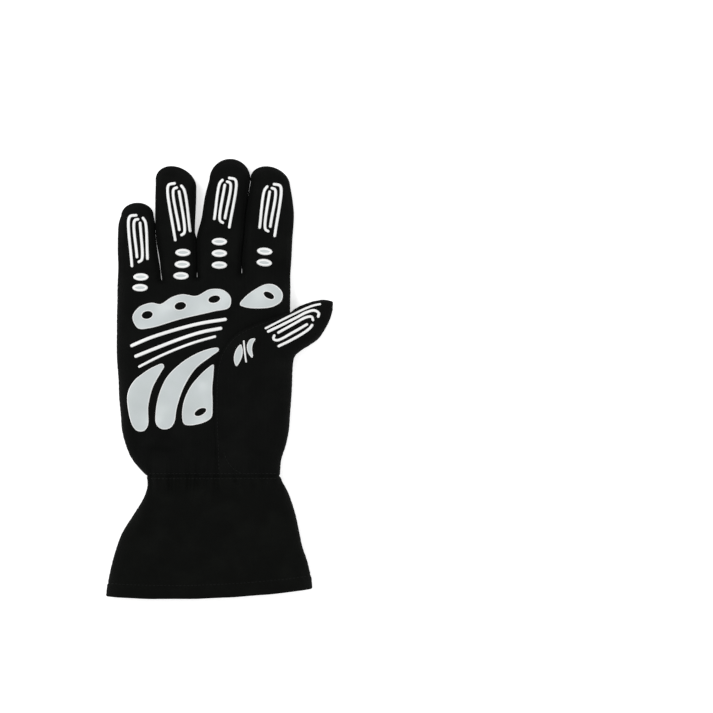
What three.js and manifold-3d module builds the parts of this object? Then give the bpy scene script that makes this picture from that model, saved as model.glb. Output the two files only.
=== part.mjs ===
// A right-hand gauntlet racing glove, lying empty on its back with the palm up.
//
// The glove is cut from cloth panels: a palm panel with the palm side of four
// fingers, a back panel, a thumb panel that reaches down to the wrist, a thumb
// back, three fourchettes between the fingers, and a flared cuff of two panels.
// Raised silicone grips sit on the palm side.
//
// Millimetres. X runs across the glove with the thumb towards +X, Y runs from
// the cuff to the fingertips, and Z is up, with the back of the glove on Z = 0.

import * as THREE from 'three';
import { mergeVertices } from 'three/addons/utils/BufferGeometryUtils.js';
import Module from 'manifold-3d';

const wasm = await Module();
wasm.setup();

// Thickness of the empty glove, from its back to its palm side
const FINGER_HEIGHT = 12.5;
const PALM_HEIGHT = 15;
const WRIST_HEIGHT = 12;
const MOUTH_HEIGHT = 16;

// Cloth
const WALL = 1.3;
const HEM_WALL = 2.1;
const HEM_TOP_Y = -132;
const SEAM_GAP = 0.36;

// Soft forms of the palm side
const FINGER_CROWN = 0.8;
const PALM_CROWN = 2.0;
const CROWN_REACH = 24;
const CREASE_DEPTH = 1.6;
const CREASE_WIDTH = 3.2;
const GATHER_DEPTH = 0.9;
const GATHER_PITCH = 14;
const WRIST_Y = -64;
const GATHER_REACH = 15;

// Grips
const GRIP_LIFT = 0.35;
const GRIP_THICKNESS = 0.7;
const STROKE_WIDTH = 2.3;

// Columns of the cloth mesh: two as distances in from the edge of the glove,
// and the number of even spans between them on each part
const SIDE_BAND = 1.8;
const SHOULDER_BAND = 4.6;
const FINGER_SPANS = 2;
const PALM_SPANS = 10;
const PALM_WIDTH = 113;
const PALM_LEAST_SPANS = 5;
const BALL_SPANS = 5;
const CROTCH_SPANS = 3;
const WRIST_SPANS = 10;
const CUFF_SPANS = 17;

// Sections across each finger, from its base to the shoulder of its tip,
// each with its left end, its right end and then the tip's own point
const CROTCHES = [[-38.6, 65.3], [-15.2, 67.3], [14.3, 70.0]];
const FINGERS = [
  {
    name: 'little', tip: [-54.4, 115.9],
    sections: [
      { left: [-67.2, 65.0], right: CROTCHES[0] },
      { left: [-66.9, 74.5], right: [-41.0, 74.5] },
      { left: [-67.3, 85.0], right: [-42.0, 85.0] },
      { left: [-67.2, 95.0], right: [-42.9, 95.0] },
      { left: [-66.4, 102.5], right: [-43.5, 102.5] },
      { left: [-64.9, 108.0], right: [-45.1, 108.0] },
    ],
  },
  {
    name: 'ring', tip: [-31.0, 140.1],
    sections: [
      { left: CROTCHES[0], right: CROTCHES[1] },
      { left: [-39.4, 78.0], right: [-16.0, 79.0] },
      { left: [-41.0, 91.0], right: [-16.1, 91.5] },
      { left: [-41.9, 104.0], right: [-16.4, 104.0] },
      { left: [-42.4, 118.0], right: [-16.5, 118.0] },
      { left: [-42.4, 130.0], right: [-17.3, 130.0] },
    ],
  },
  {
    name: 'middle', tip: [6.6, 144.6],
    sections: [
      { left: CROTCHES[1], right: CROTCHES[2] },
      { left: [-15.1, 79.0], right: [14.0, 80.5] },
      { left: [-14.9, 93.0], right: [15.2, 93.0] },
      { left: [-13.2, 106.0], right: [16.2, 106.0] },
      { left: [-10.2, 120.0], right: [17.4, 120.0] },
      { left: [-7.2, 133.0], right: [18.2, 133.0] },
    ],
  },
  {
    name: 'index', tip: [29.9, 140.1],
    sections: [
      { left: CROTCHES[2], right: [45.5, 68.0] },
      { left: [15.2, 80.5], right: [46.7, 80.0] },
      { left: [16.1, 93.0], right: [46.9, 92.0] },
      { left: [17.1, 106.0], right: [47.9, 105.0] },
      { left: [18.3, 120.0], right: [46.7, 119.0] },
      { left: [19.3, 131.0], right: [44.5, 130.5] },
    ],
  },
];

// The seam between the palm panel and the thumb panel, from the thumb's crotch
// round the ball of the thumb and down to the wrist
const THUMB_SEAM = [
  [45.9, 44.2], [27.1, 37.6], [11.9, 30.4], [4.0, 22.4], [-1.0, 12.5], [-3.0, -0.7],
  [-3.3, -12.0], [-3.3, -23.8], [-3.0, -33.7], [-2.6, -43.6], [-2.3, -53.8], [-2.0, WRIST_Y],
];

// Left ends of the palm's sections that end on that seam, in the same order
const PALM_LEFT = [
  [-67.5, 44.2], [-67.8, 37.6], [-67.9, 30.4], [-68.0, 22.4], [-67.8, 12.5], [-66.8, -0.7],
  [-66.4, -12.0], [-65.3, -23.8], [-64.6, -33.7], [-61.4, -43.6], [-56.8, -53.8], [-48.4, WRIST_Y],
];
const PALM_TOP = [
  { left: [-67.3, 58.5], right: [45.6, 59.5] },
  { left: [-67.3, 51.5], right: [45.5, 51.5] },
];

// Right ends of the thumb panel's sections that start on that seam
const THUMB_RIGHT = [
  [54.0, 20.0], [49.9, 16.4], [48.2, 13.0], [47.5, 8.8], [47.1, 3.4], [46.9, -3.5],
  [46.2, -12.6], [45.4, -23.0], [44.8, -33.7], [42.7, -43.6], [39.6, -53.6], [38.9, WRIST_Y],
];
const THUMB = {
  name: 'thumb', tip: [74.0, 49.3],
  sections: [
    { left: [49.7, 46.0], right: [58.8, 23.1] },
    { left: [54.6, 48.2], right: [63.4, 26.4] },
    { left: [60.4, 50.5], right: [68.0, 32.2] },
    { left: [65.4, 52.0], right: [70.7, 38.2] },
  ],
};

// Sections across the cuff, from the wrist down to the mouth
const CUFF = [
  { left: [-47.8, -69.0], right: [41.2, -69.0], bulge: 0 },
  { left: [-48.7, -74.0], right: [43.9, -74.0], bulge: 0 },
  { left: [-51.4, -80.5], right: [46.4, -80.5], bulge: 0 },
  { left: [-57.4, -90.4], right: [49.3, -89.5], bulge: 0.4 },
  { left: [-64.2, -101.5], right: [51.7, -100.0], bulge: 0.8 },
  { left: [-68.4, -112.0], right: [54.3, -110.5], bulge: 1.4 },
  { left: [-71.6, -122.6], right: [57.7, -120.0], bulge: 2.0 },
  { left: [-73.8, -133.4], right: [59.8, -129.4], bulge: 2.6 },
  { left: [-74.3, -137.8], right: [60.1, -132.9], bulge: 3.0 },
  { left: [-74.7, -143.3], right: [60.4, -138.1], bulge: 3.3 },
];

const lerp = (a, b, s) => a + (b - a) * s;
const between = (p, q, s) => [lerp(p[0], q[0], s), lerp(p[1], q[1], s)];
const distance = (p, q) => Math.hypot(p[0] - q[0], p[1] - q[1]);
const smooth = (from, to, value) => THREE.MathUtils.smoothstep(value, from, to);

// The planform: points in X and Y shared by the palm side and the back
const points = [];
const pointNumbers = new Map();
const faces = [];

function pointAt([x, y]) {
  const key = `${x.toFixed(3)} ${y.toFixed(3)}`;
  if (!pointNumbers.has(key)) {
    pointNumbers.set(key, points.length);
    points.push([x, y]);
  }
  return pointNumbers.get(key);
}

// Fractions across a section that has rounded edges at one end or at both
function columns(width, roundLeft, roundRight, spans) {
  const from = roundLeft ? SHOULDER_BAND / width : 0;
  const to = roundRight ? 1 - SHOULDER_BAND / width : 1;
  const inner = [];
  for (let i = 0; i <= spans; i += 1) inner.push(lerp(from, to, i / spans));
  const left = roundLeft ? [0, SIDE_BAND / width] : [];
  const right = roundRight ? [1 - SIDE_BAND / width, 1] : [];
  return [...left, ...inner, ...right];
}

function sectionRow({ left, right, bulge = 0 }, roundLeft, roundRight, spans) {
  const across = columns(distance(left, right), roundLeft, roundRight, spans);
  return across.map((s) => {
    const [x, y] = between(left, right, s);
    return pointAt([x, y - bulge * 4 * s * (1 - s)]);
  });
}

function rowFractions(row) {
  const lengths = [0];
  for (let i = 1; i < row.length; i += 1) {
    lengths.push(lengths[i - 1] + distance(points[row[i - 1]], points[row[i]]));
  }
  return lengths.map((length) => length / lengths.at(-1));
}

// Triangles between two rows that both run from left to right. The diagonals
// lean inwards on both halves, so no triangle lies flat in a corner.
function bridge(lower, upper, strip, row) {
  const half = lower.length / 2 - 1;
  const matched = lower.length === upper.length;
  const low = matched ? lower.map((_, i) => i) : rowFractions(lower);
  const high = matched ? upper.map((_, i) => i) : rowFractions(upper);
  let i = 0;
  let j = 0;
  while (i < lower.length - 1 || j < upper.length - 1) {
    const nextHigh = high[Math.min(j + 1, upper.length - 1)];
    const lead = i < lower.length - 1 ? nextHigh - low[i + 1] : -1;
    const stepLow = j === upper.length - 1 || lead > 0 || (lead === 0 && i < half);
    const column = stepLow ? i : j;
    const face = { strip, row, firstColumn: column === 0, lastColumn: column === lower.length - 2 };
    if (stepLow) {
      faces.push({ ...face, corners: [lower[i], lower[i + 1], upper[j]] });
      i += 1;
    } else {
      faces.push({ ...face, corners: [lower[i], upper[j + 1], upper[j]] });
      j += 1;
    }
  }
}

// The round end of a finger, from its last section to the outline of its tip
const TIP_ANGLE = THREE.MathUtils.degToRad(52);
const TIP_ROWS = [0.42, 0.8, 1];

function tipRows(section, tip, spans) {
  const { left, right } = section;
  const middle = between(left, right, 0.5);
  const half = [right[0] - middle[0], right[1] - middle[1]];
  const reach = [tip[0] - middle[0], tip[1] - middle[1]];
  const outline = (angle) => {
    const across = Math.cos(angle);
    const up = Math.sin(angle);
    return [middle[0] + half[0] * across + reach[0] * up, middle[1] + half[1] * across + reach[1] * up];
  };
  const fractions = columns(distance(left, right), true, true, spans);
  return TIP_ROWS.map((up) => {
    const leftEnd = outline(Math.PI - TIP_ANGLE * up);
    const rightEnd = outline(TIP_ANGLE * up);
    return fractions.map((s) => {
      const base = between(left, right, s);
      const top = outline(lerp(Math.PI - TIP_ANGLE, TIP_ANGLE, s));
      const plain = between(base, top, up);
      const plainLeft = between(left, outline(Math.PI - TIP_ANGLE), up);
      const plainRight = between(right, outline(TIP_ANGLE), up);
      const shift = [0, 1].map((axis) => (
        lerp(leftEnd[axis] - plainLeft[axis], rightEnd[axis] - plainRight[axis], s)));
      return pointAt([plain[0] + shift[0], plain[1] + shift[1]]);
    });
  });
}

// A finger from its base row to its tip; the base row goes on to the palm
function addFinger(finger) {
  const rows = finger.sections.slice(1).map((section) => sectionRow(section, true, true, FINGER_SPANS));
  const tip = tipRows(finger.sections.at(-1), finger.tip, FINGER_SPANS);
  const all = [fingerBase(finger), ...rows, ...tip];
  for (let i = 1; i < all.length; i += 1) bridge(all[i - 1], all[i], finger.name, i);
  return all[0];
}

// The base row dips below the crotches, so that a fourchette can turn there
const BASE_DIP = 0.7;
const CROTCH_DIP = 1.9;

function fingerBase(finger) {
  const { left, right } = finger.sections[0];
  const across = columns(distance(left, right), true, true, FINGER_SPANS);
  return across.map((s) => {
    const [x, y] = between(left, right, s);
    const inside = s > 0 && s < 1;
    return pointAt([x, inside ? y - BASE_DIP : y]);
  });
}

function addCrotch(leftRow, rightRow, number) {
  const [x, y] = CROTCHES[number];
  const crotch = pointAt([x, y]);
  const below = pointAt([x, y - CROTCH_DIP]);
  const strip = `crotch${number}`;
  faces.push({ corners: [leftRow.at(-2), below, crotch], strip });
  faces.push({ corners: [below, rightRow[1], crotch], strip });
  return below;
}

function addHand() {
  const bases = FINGERS.map((finger) => addFinger(finger));
  const topRow = [bases[0][0]];
  bases.forEach((base, i) => {
    topRow.push(...base.slice(1, -1));
    if (i < CROTCHES.length) topRow.push(addCrotch(base, bases[i + 1], i));
  });
  topRow.push(bases.at(-1).at(-1));

  // The palm, from the fingers down to the wrist
  const palmRows = [topRow];
  PALM_TOP.forEach((section) => palmRows.push(sectionRow(section, true, true, PALM_SPANS)));
  THUMB_SEAM.forEach((right, i) => {
    const atWrist = i === THUMB_SEAM.length - 1;
    const open = i === 0;
    const width = right[0] - PALM_LEFT[i][0];
    const spans = Math.max(PALM_LEAST_SPANS, Math.round((width * PALM_SPANS) / PALM_WIDTH));
    palmRows.push(sectionRow({ left: PALM_LEFT[i], right }, true, open, atWrist ? WRIST_SPANS : spans));
  });
  for (let i = 1; i < palmRows.length; i += 1) bridge(palmRows[i], palmRows[i - 1], 'palm', i);

  // The thumb panel, from the wrist up to the tip of the thumb
  const ballRows = THUMB_SEAM.map((left, i) => {
    const section = { left, right: THUMB_RIGHT[i] };
    if (i === 0) return sectionRow(section, true, true, CROTCH_SPANS);
    const atWrist = i === THUMB_SEAM.length - 1;
    return sectionRow(section, false, true, atWrist ? WRIST_SPANS : BALL_SPANS);
  }).reverse();
  for (let i = 1; i < ballRows.length; i += 1) {
    bridge(ballRows[i - 1], ballRows[i], 'thumb', i - ballRows.length);
  }
  const tubeRows = THUMB.sections.map((section) => sectionRow(section, true, true, FINGER_SPANS));
  const tip = tipRows(THUMB.sections.at(-1), THUMB.tip, FINGER_SPANS);
  const thumbRows = [ballRows.at(-1), ...tubeRows, ...tip];
  for (let i = 1; i < thumbRows.length; i += 1) bridge(thumbRows[i - 1], thumbRows[i], 'thumb', i);

  // The row along the wrist seam, which the cuff shares
  return [...palmRows.at(-1), ...ballRows[0].slice(1)];
}

function addCuff(wristRow) {
  const rows = [wristRow];
  CUFF.forEach((section) => rows.push(sectionRow(section, true, true, CUFF_SPANS)));
  for (let i = 1; i < rows.length; i += 1) bridge(rows[i], rows[i - 1], 'cuff', i);
  return rows.at(-1);
}

const mouthRow = addCuff(addHand());

// Edges of a set of triangles that only one of them has, in its own order
function openEdges(triangles) {
  const seen = new Map();
  triangles.forEach((corners, number) => {
    corners.forEach((a, i) => {
      const b = corners[(i + 1) % 3];
      const reverse = `${b} ${a}`;
      if (seen.has(reverse)) seen.delete(reverse);
      else seen.set(`${a} ${b}`, { a, b, number });
    });
  });
  return [...seen.values()];
}

const mouthPoints = new Set(mouthRow);
const outlineEdges = openEdges(faces.map((face) => face.corners))
  .filter(({ a, b }) => !(mouthPoints.has(a) && mouthPoints.has(b)));
const outlinePoints = new Set(outlineEdges.flatMap(({ a, b }) => [a, b]));

function distanceToSegment([x, y], [ax, ay], [bx, by]) {
  const along = ((x - ax) * (bx - ax) + (y - ay) * (by - ay)) / ((bx - ax) ** 2 + (by - ay) ** 2);
  const s = Math.min(1, Math.max(0, along));
  return Math.hypot(x - lerp(ax, bx, s), y - lerp(ay, by, s));
}

function edgeDistance(point) {
  const all = outlineEdges.map(({ a, b }) => distanceToSegment(point, points[a], points[b]));
  return Math.min(...all);
}

function seamDistance(point) {
  const all = THUMB_SEAM.slice(1)
    .map((end, i) => distanceToSegment(point, THUMB_SEAM[i], end));
  return Math.min(...all);
}

// Thickness of the glove at a point, before its edges are rounded
function fullHeight([x, y]) {
  const hand = lerp(PALM_HEIGHT, FINGER_HEIGHT, smooth(42, 72, y));
  const thumb = lerp(hand, FINGER_HEIGHT, smooth(44, 60, x) * smooth(0, 14, y));
  const wrist = lerp(WRIST_HEIGHT, thumb, smooth(WRIST_Y, -28, y));
  return y > WRIST_Y ? wrist : lerp(WRIST_HEIGHT, MOUTH_HEIGHT, smooth(WRIST_Y, -140, y));
}

// Side profile: a quarter round from the side seam up to the full height
function roundness(edge, height) {
  const t = Math.min(1, edge / (height / 2));
  return Math.sqrt(1 - (1 - t) ** 2);
}

function gathers([x, y]) {
  const nearWrist = 1 - smooth(0, GATHER_REACH, Math.abs(y - (WRIST_Y - 3)));
  return GATHER_DEPTH * nearWrist * Math.sin((2 * Math.PI * x) / GATHER_PITCH);
}

function palmSide(point) {
  const edge = edgeDistance(point);
  const height = fullHeight(point);
  const round = roundness(edge, height);
  const inHand = 1 - smooth(40, 72, point[1]);
  const rise = 1 - (1 - Math.min(1, edge / CROWN_REACH)) ** 2;
  const crown = lerp(FINGER_CROWN, PALM_CROWN, inHand) * rise;
  const nearSeam = Math.exp(-((seamDistance(point) / CREASE_WIDTH) ** 2));
  const crease = CREASE_DEPTH * nearSeam * smooth(-40, 10, point[1]);
  return (height / 2) * (1 + round) + round * (crown - crease + gathers(point));
}

function backSide(point) {
  const height = fullHeight(point);
  return (height / 2) * (1 - roundness(edgeDistance(point), height));
}

// The whole outer skin: palm side and back, joined along the outline
const skin = points.map((point) => new THREE.Vector3(...point, palmSide(point)));
const backNumbers = points.map((point, i) => {
  if (outlinePoints.has(i)) return i;
  skin.push(new THREE.Vector3(...point, backSide(point)));
  return skin.length - 1;
});
const skinFaces = faces.flatMap((face) => {
  const [a, b, c] = face.corners;
  return [
    { ...face, sheet: 'palm', corners: [a, b, c] },
    { ...face, sheet: 'back', corners: [c, b, a].map((i) => backNumbers[i]) },
  ];
});

function faceNormal([a, b, c]) {
  const ab = new THREE.Vector3().subVectors(skin[b], skin[a]);
  const ac = new THREE.Vector3().subVectors(skin[c], skin[a]);
  return ab.cross(ac);
}

const normals = skin.map(() => new THREE.Vector3());
skinFaces.forEach((face) => {
  const normal = faceNormal(face.corners);
  face.corners.forEach((i) => normals[i].add(normal));
});
normals.forEach((normal) => normal.normalize());

// The lining side of the cloth, one wall in from the skin
const MITER_LIMIT = 1.35;
const miters = skin.map(() => 1);
skinFaces.forEach((face) => {
  const normal = faceNormal(face.corners).normalize();
  face.corners.forEach((i) => {
    const stretch = 1 / Math.max(0.1, normal.dot(normals[i]));
    miters[i] = Math.min(MITER_LIMIT, Math.max(miters[i], stretch));
  });
});
const lining = skin.map((point, i) => {
  const wall = point.y < HEM_TOP_Y ? HEM_WALL : WALL;
  return point.clone().addScaledVector(normals[i], -wall * miters[i]);
});

// Which panel a piece of the skin belongs to
const FOURCHETTES = ['fourchette_little_ring', 'fourchette_ring_middle', 'fourchette_middle_index'];

function panelOf({ strip, row, firstColumn, lastColumn, sheet }) {
  if (strip.startsWith('crotch')) return FOURCHETTES[Number(strip.at(-1))];
  const finger = FINGERS.findIndex(({ name }) => name === strip);
  if (finger >= 0 && row < FINGERS[finger].sections.length) {
    if (firstColumn && finger > 0) return FOURCHETTES[finger - 1];
    if (lastColumn && finger < FOURCHETTES.length) return FOURCHETTES[finger];
  }
  if (strip === 'cuff') return sheet === 'palm' ? 'cuff_palm_panel' : 'cuff_back_panel';
  if (strip === 'thumb' && sheet === 'palm') return 'thumb_panel';
  if (strip === 'thumb' && row > 0) return 'thumb_back';
  return sheet === 'palm' ? 'palm_panel' : 'back_panel';
}

// How far each edge point of a panel moves in, so that seams keep their gap
function seamShifts(triangles) {
  const shifts = new Map();
  openEdges(triangles).forEach(({ a, b, number }) => {
    if (mouthEdge(a, b)) return;
    const along = new THREE.Vector3().subVectors(skin[b], skin[a]);
    const inward = faceNormal(triangles[number]).cross(along).normalize();
    [a, b].forEach((i) => shifts.set(i, [...(shifts.get(i) ?? []), inward]));
  });
  for (const [i, inwards] of shifts) {
    const sum = inwards.reduce((total, v) => total.add(v), new THREE.Vector3()).normalize();
    const stretch = Math.min(2.5, 1 / Math.max(0.2, sum.dot(inwards[0])));
    shifts.set(i, sum.multiplyScalar((SEAM_GAP / 2) * stretch));
  }
  return shifts;
}

const mouthSkin = new Set(mouthRow.flatMap((i) => [i, backNumbers[i]]));
const mouthEdge = (a, b) => mouthSkin.has(a) && mouthSkin.has(b);

function geometryFrom(positions, triangles) {
  const geometry = new THREE.BufferGeometry();
  geometry.setAttribute('position', new THREE.Float32BufferAttribute(positions, 3));
  geometry.setIndex(triangles.flat());
  return geometry;
}

// A cloth panel: skin outside, lining inside, closed along its cut edges
function panelGeometry(name) {
  const triangles = skinFaces.filter((face) => panelOf(face) === name).map((face) => face.corners);
  const shifts = seamShifts(triangles);
  const numbers = new Map();
  const positions = [];
  triangles.flat().forEach((i) => {
    if (numbers.has(i)) return;
    numbers.set(i, numbers.size);
    const shift = shifts.get(i) ?? new THREE.Vector3();
    [skin[i], lining[i]].forEach((place) => {
      const { x, y, z } = place.clone().add(shift);
      positions.push(x, y, Math.max(0, z));
    });
  });
  const outside = (i) => numbers.get(i) * 2;
  const inside = (i) => numbers.get(i) * 2 + 1;
  const all = triangles.flatMap(([a, b, c]) => [
    [outside(a), outside(b), outside(c)],
    [inside(c), inside(b), inside(a)],
  ]);
  openEdges(triangles).forEach(({ a, b }) => {
    all.push([outside(b), outside(a), inside(a)]);
    all.push([outside(b), inside(a), inside(b)]);
  });
  return geometryFrom(positions, all);
}

function solidOf(geometry) {
  const plain = geometry.clone();
  plain.deleteAttribute('normal');
  plain.deleteAttribute('uv');
  const merged = mergeVertices(plain, 1e-4);
  const mesh = new wasm.Mesh({
    numProp: 3,
    vertProperties: merged.attributes.position.array,
    triVerts: new Uint32Array(merged.index.array),
  });
  return new wasm.Manifold(mesh);
}

// The layer that the grips are cut from: the palm side, lifted a little
function gripLayer() {
  const triangles = faces.filter(({ strip }) => strip !== 'cuff').map((face) => face.corners);
  const positions = points.flatMap(([x, y], i) => [
    x, y, skin[i].z + GRIP_LIFT + GRIP_THICKNESS,
    x, y, skin[i].z + GRIP_LIFT,
  ]);
  const all = triangles.flatMap(([a, b, c]) => [
    [2 * a, 2 * b, 2 * c],
    [2 * c + 1, 2 * b + 1, 2 * a + 1],
  ]);
  openEdges(triangles).forEach(({ a, b }) => {
    all.push([2 * b, 2 * a, 2 * a + 1]);
    all.push([2 * b, 2 * a + 1, 2 * b + 1]);
  });
  return solidOf(geometryFrom(positions, all));
}

const layer = gripLayer();
const LAYER_TOP = 40;

function gripGeometry(shape) {
  const prism = new THREE.ExtrudeGeometry(shape, { depth: LAYER_TOP, bevelEnabled: false });
  const { vertProperties, triVerts } = layer.intersect(solidOf(prism)).getMesh();
  const geometry = new THREE.BufferGeometry();
  geometry.setAttribute('position', new THREE.BufferAttribute(new Float32Array(vertProperties), 3));
  geometry.setIndex([...triVerts]);
  return geometry;
}

// Leaves out the points of a fine line where it hardly turns
const LEAST_TURN = THREE.MathUtils.degToRad(11);

function thinned(line, closed) {
  const kept = [line[0]];
  let heading = null;
  for (let i = 1; i < line.length - (closed ? 0 : 1); i += 1) {
    const next = new THREE.Vector2().subVectors(line[(i + 1) % line.length], line[i]).angle();
    heading ??= new THREE.Vector2().subVectors(line[i], kept.at(-1)).angle();
    const turn = Math.abs(THREE.MathUtils.euclideanModulo(next - heading + Math.PI, 2 * Math.PI) - Math.PI);
    if (turn > LEAST_TURN) {
      kept.push(line[i]);
      heading = null;
    }
  }
  if (!closed) kept.push(line.at(-1));
  return kept;
}

// Points close together on a smooth curve through a few points
const FINE = 24;

function smoothLine(route, closed) {
  const corners = route.map(([x, y]) => new THREE.Vector3(x, y, 0));
  const curve = new THREE.CatmullRomCurve3(corners, closed, 'centripetal');
  return curve.getPoints(FINE * route.length).map(({ x, y }) => new THREE.Vector2(x, y));
}

// A stroke of even width with round ends, along a curve through a few points
function strokeShape(route, width = STROKE_WIDTH) {
  const line = thinned(smoothLine(route, false), false);
  const left = [];
  const right = [];
  line.forEach((point, i) => {
    const before = line[Math.max(0, i - 1)];
    const after = line[Math.min(line.length - 1, i + 1)];
    const angle = new THREE.Vector2().subVectors(after, before).angle() + Math.PI / 2;
    const offset = new THREE.Vector2(Math.cos(angle), Math.sin(angle)).multiplyScalar(width / 2);
    left.push(point.clone().add(offset));
    right.push(point.clone().sub(offset));
  });
  const cap = (centre, from) => [1, 2, 3].map((step) => {
    const angle = from - (step * Math.PI) / 4;
    return new THREE.Vector2(Math.cos(angle), Math.sin(angle)).multiplyScalar(width / 2).add(centre);
  });
  const endCap = cap(line.at(-1), new THREE.Vector2().subVectors(left.at(-1), line.at(-1)).angle());
  const startCap = cap(line[0], new THREE.Vector2().subVectors(right[0], line[0]).angle());
  return new THREE.Shape([...left, ...endCap, ...right.reverse(), ...startCap]);
}

// An oval, as a shape or as a hole, turned by some degrees
const OVAL_POINTS = 12;
const HOLE_POINTS = 10;

function ovalPoints([x, y], length, width, degrees, count) {
  const centre = new THREE.Vector2(x, y);
  return Array.from({ length: count }, (_, i) => {
    const angle = (2 * Math.PI * i) / count;
    const point = new THREE.Vector2(x + (length / 2) * Math.cos(angle), y + (width / 2) * Math.sin(angle));
    return point.rotateAround(centre, THREE.MathUtils.degToRad(degrees));
  });
}

// A pad with a smooth closed outline through a few points, and any holes
function padShape(outline, holes = []) {
  const shape = new THREE.Shape(thinned(smoothLine(outline, true).slice(0, -1), true));
  shape.holes = holes.map((oval) => new THREE.Path(ovalPoints(...oval, HOLE_POINTS)));
  return shape;
}

// Four nested strokes along a finger, drawn across and down from its top.
// FULL_LENGTH is the length of the longest one as drawn here.
const FULL_LENGTH = 38;
const FINGER_STROKES = [
  [[-0.6, 0], [-5.0, 0.4], [-6.3, 3.2], [-6.3, 38]],
  [[0.5, 3.3], [-2.0, 4.1], [-2.2, 31.6]],
  [[1.5, 6.2], [1.5, 30.8], [0.4, 34.0], [-1.6, 35.3]],
  [[3.7, 2.6], [5.2, 5.6], [4.9, 33.4]],
];

// Where each finger's strokes start and how far they lean, and its ovals
// with the degrees that they are turned
const FINGER_GRIPS = [
  {
    finger: 'little', top: [-54.4, 108.2], lean: 0.07, length: 34.6, side: 1,
    ovals: [[-52.1, 67.3], [-52.5, 60.2]], ovalTurn: 0,
  },
  {
    finger: 'ring', top: [-29.1, 129.3], lean: 0.15, length: 38.0, side: 1,
    ovals: [[-24.4, 83.4], [-24.8, 75.6], [-25.6, 68.0]], ovalTurn: 0,
  },
  {
    finger: 'middle', top: [5.5, 132.8], lean: -0.16, length: 34.0, side: -1,
    ovals: [[-0.3, 90.6], [-0.3, 82.9], [-0.3, 75.1]], ovalTurn: 0,
  },
  {
    finger: 'index', top: [35.0, 128.7], lean: -0.14, length: 35.4, side: -1,
    ovals: [[29.6, 84.2], [29.3, 76.7]], ovalTurn: -5,
  },
];
const OVAL_LENGTH = 10.7;
const OVAL_WIDTH = 5.3;

function fingerStroke({ top, lean, length, side }, stroke) {
  const scale = length / FULL_LENGTH;
  const down = new THREE.Vector2(lean, -1).normalize();
  const across = new THREE.Vector2(-down.y, down.x).multiplyScalar(side);
  return stroke.map(([a, d]) => [
    top[0] + across.x * a + down.x * d * scale,
    top[1] + across.y * a + down.y * d * scale,
  ]);
}

const THUMB_STROKES = [
  [[30.0, 32.8], [45.5, 41.5], [55.5, 46.2], [66.2, 49.5]],
  [[31.9, 31.0], [45.5, 37.6], [58.8, 44.0], [63.0, 45.2], [65.2, 43.4], [64.8, 40.6]],
  [[38.6, 30.4], [57.0, 39.6], [60.3, 40.6], [61.4, 38.3]],
  [[36.4, 29.0], [35.2, 26.6], [37.4, 25.4], [57.8, 35.8]],
  [[38.3, 21.6], [54.6, 30.0], [59.2, 32.8], [61.0, 35.6]],
];
const THUMB_STROKE_WIDTH = 2.1;

const LENS_STROKE_WIDTH = 1.8;
const LAST_STRIPE_WIDTH = 1.9;

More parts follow.
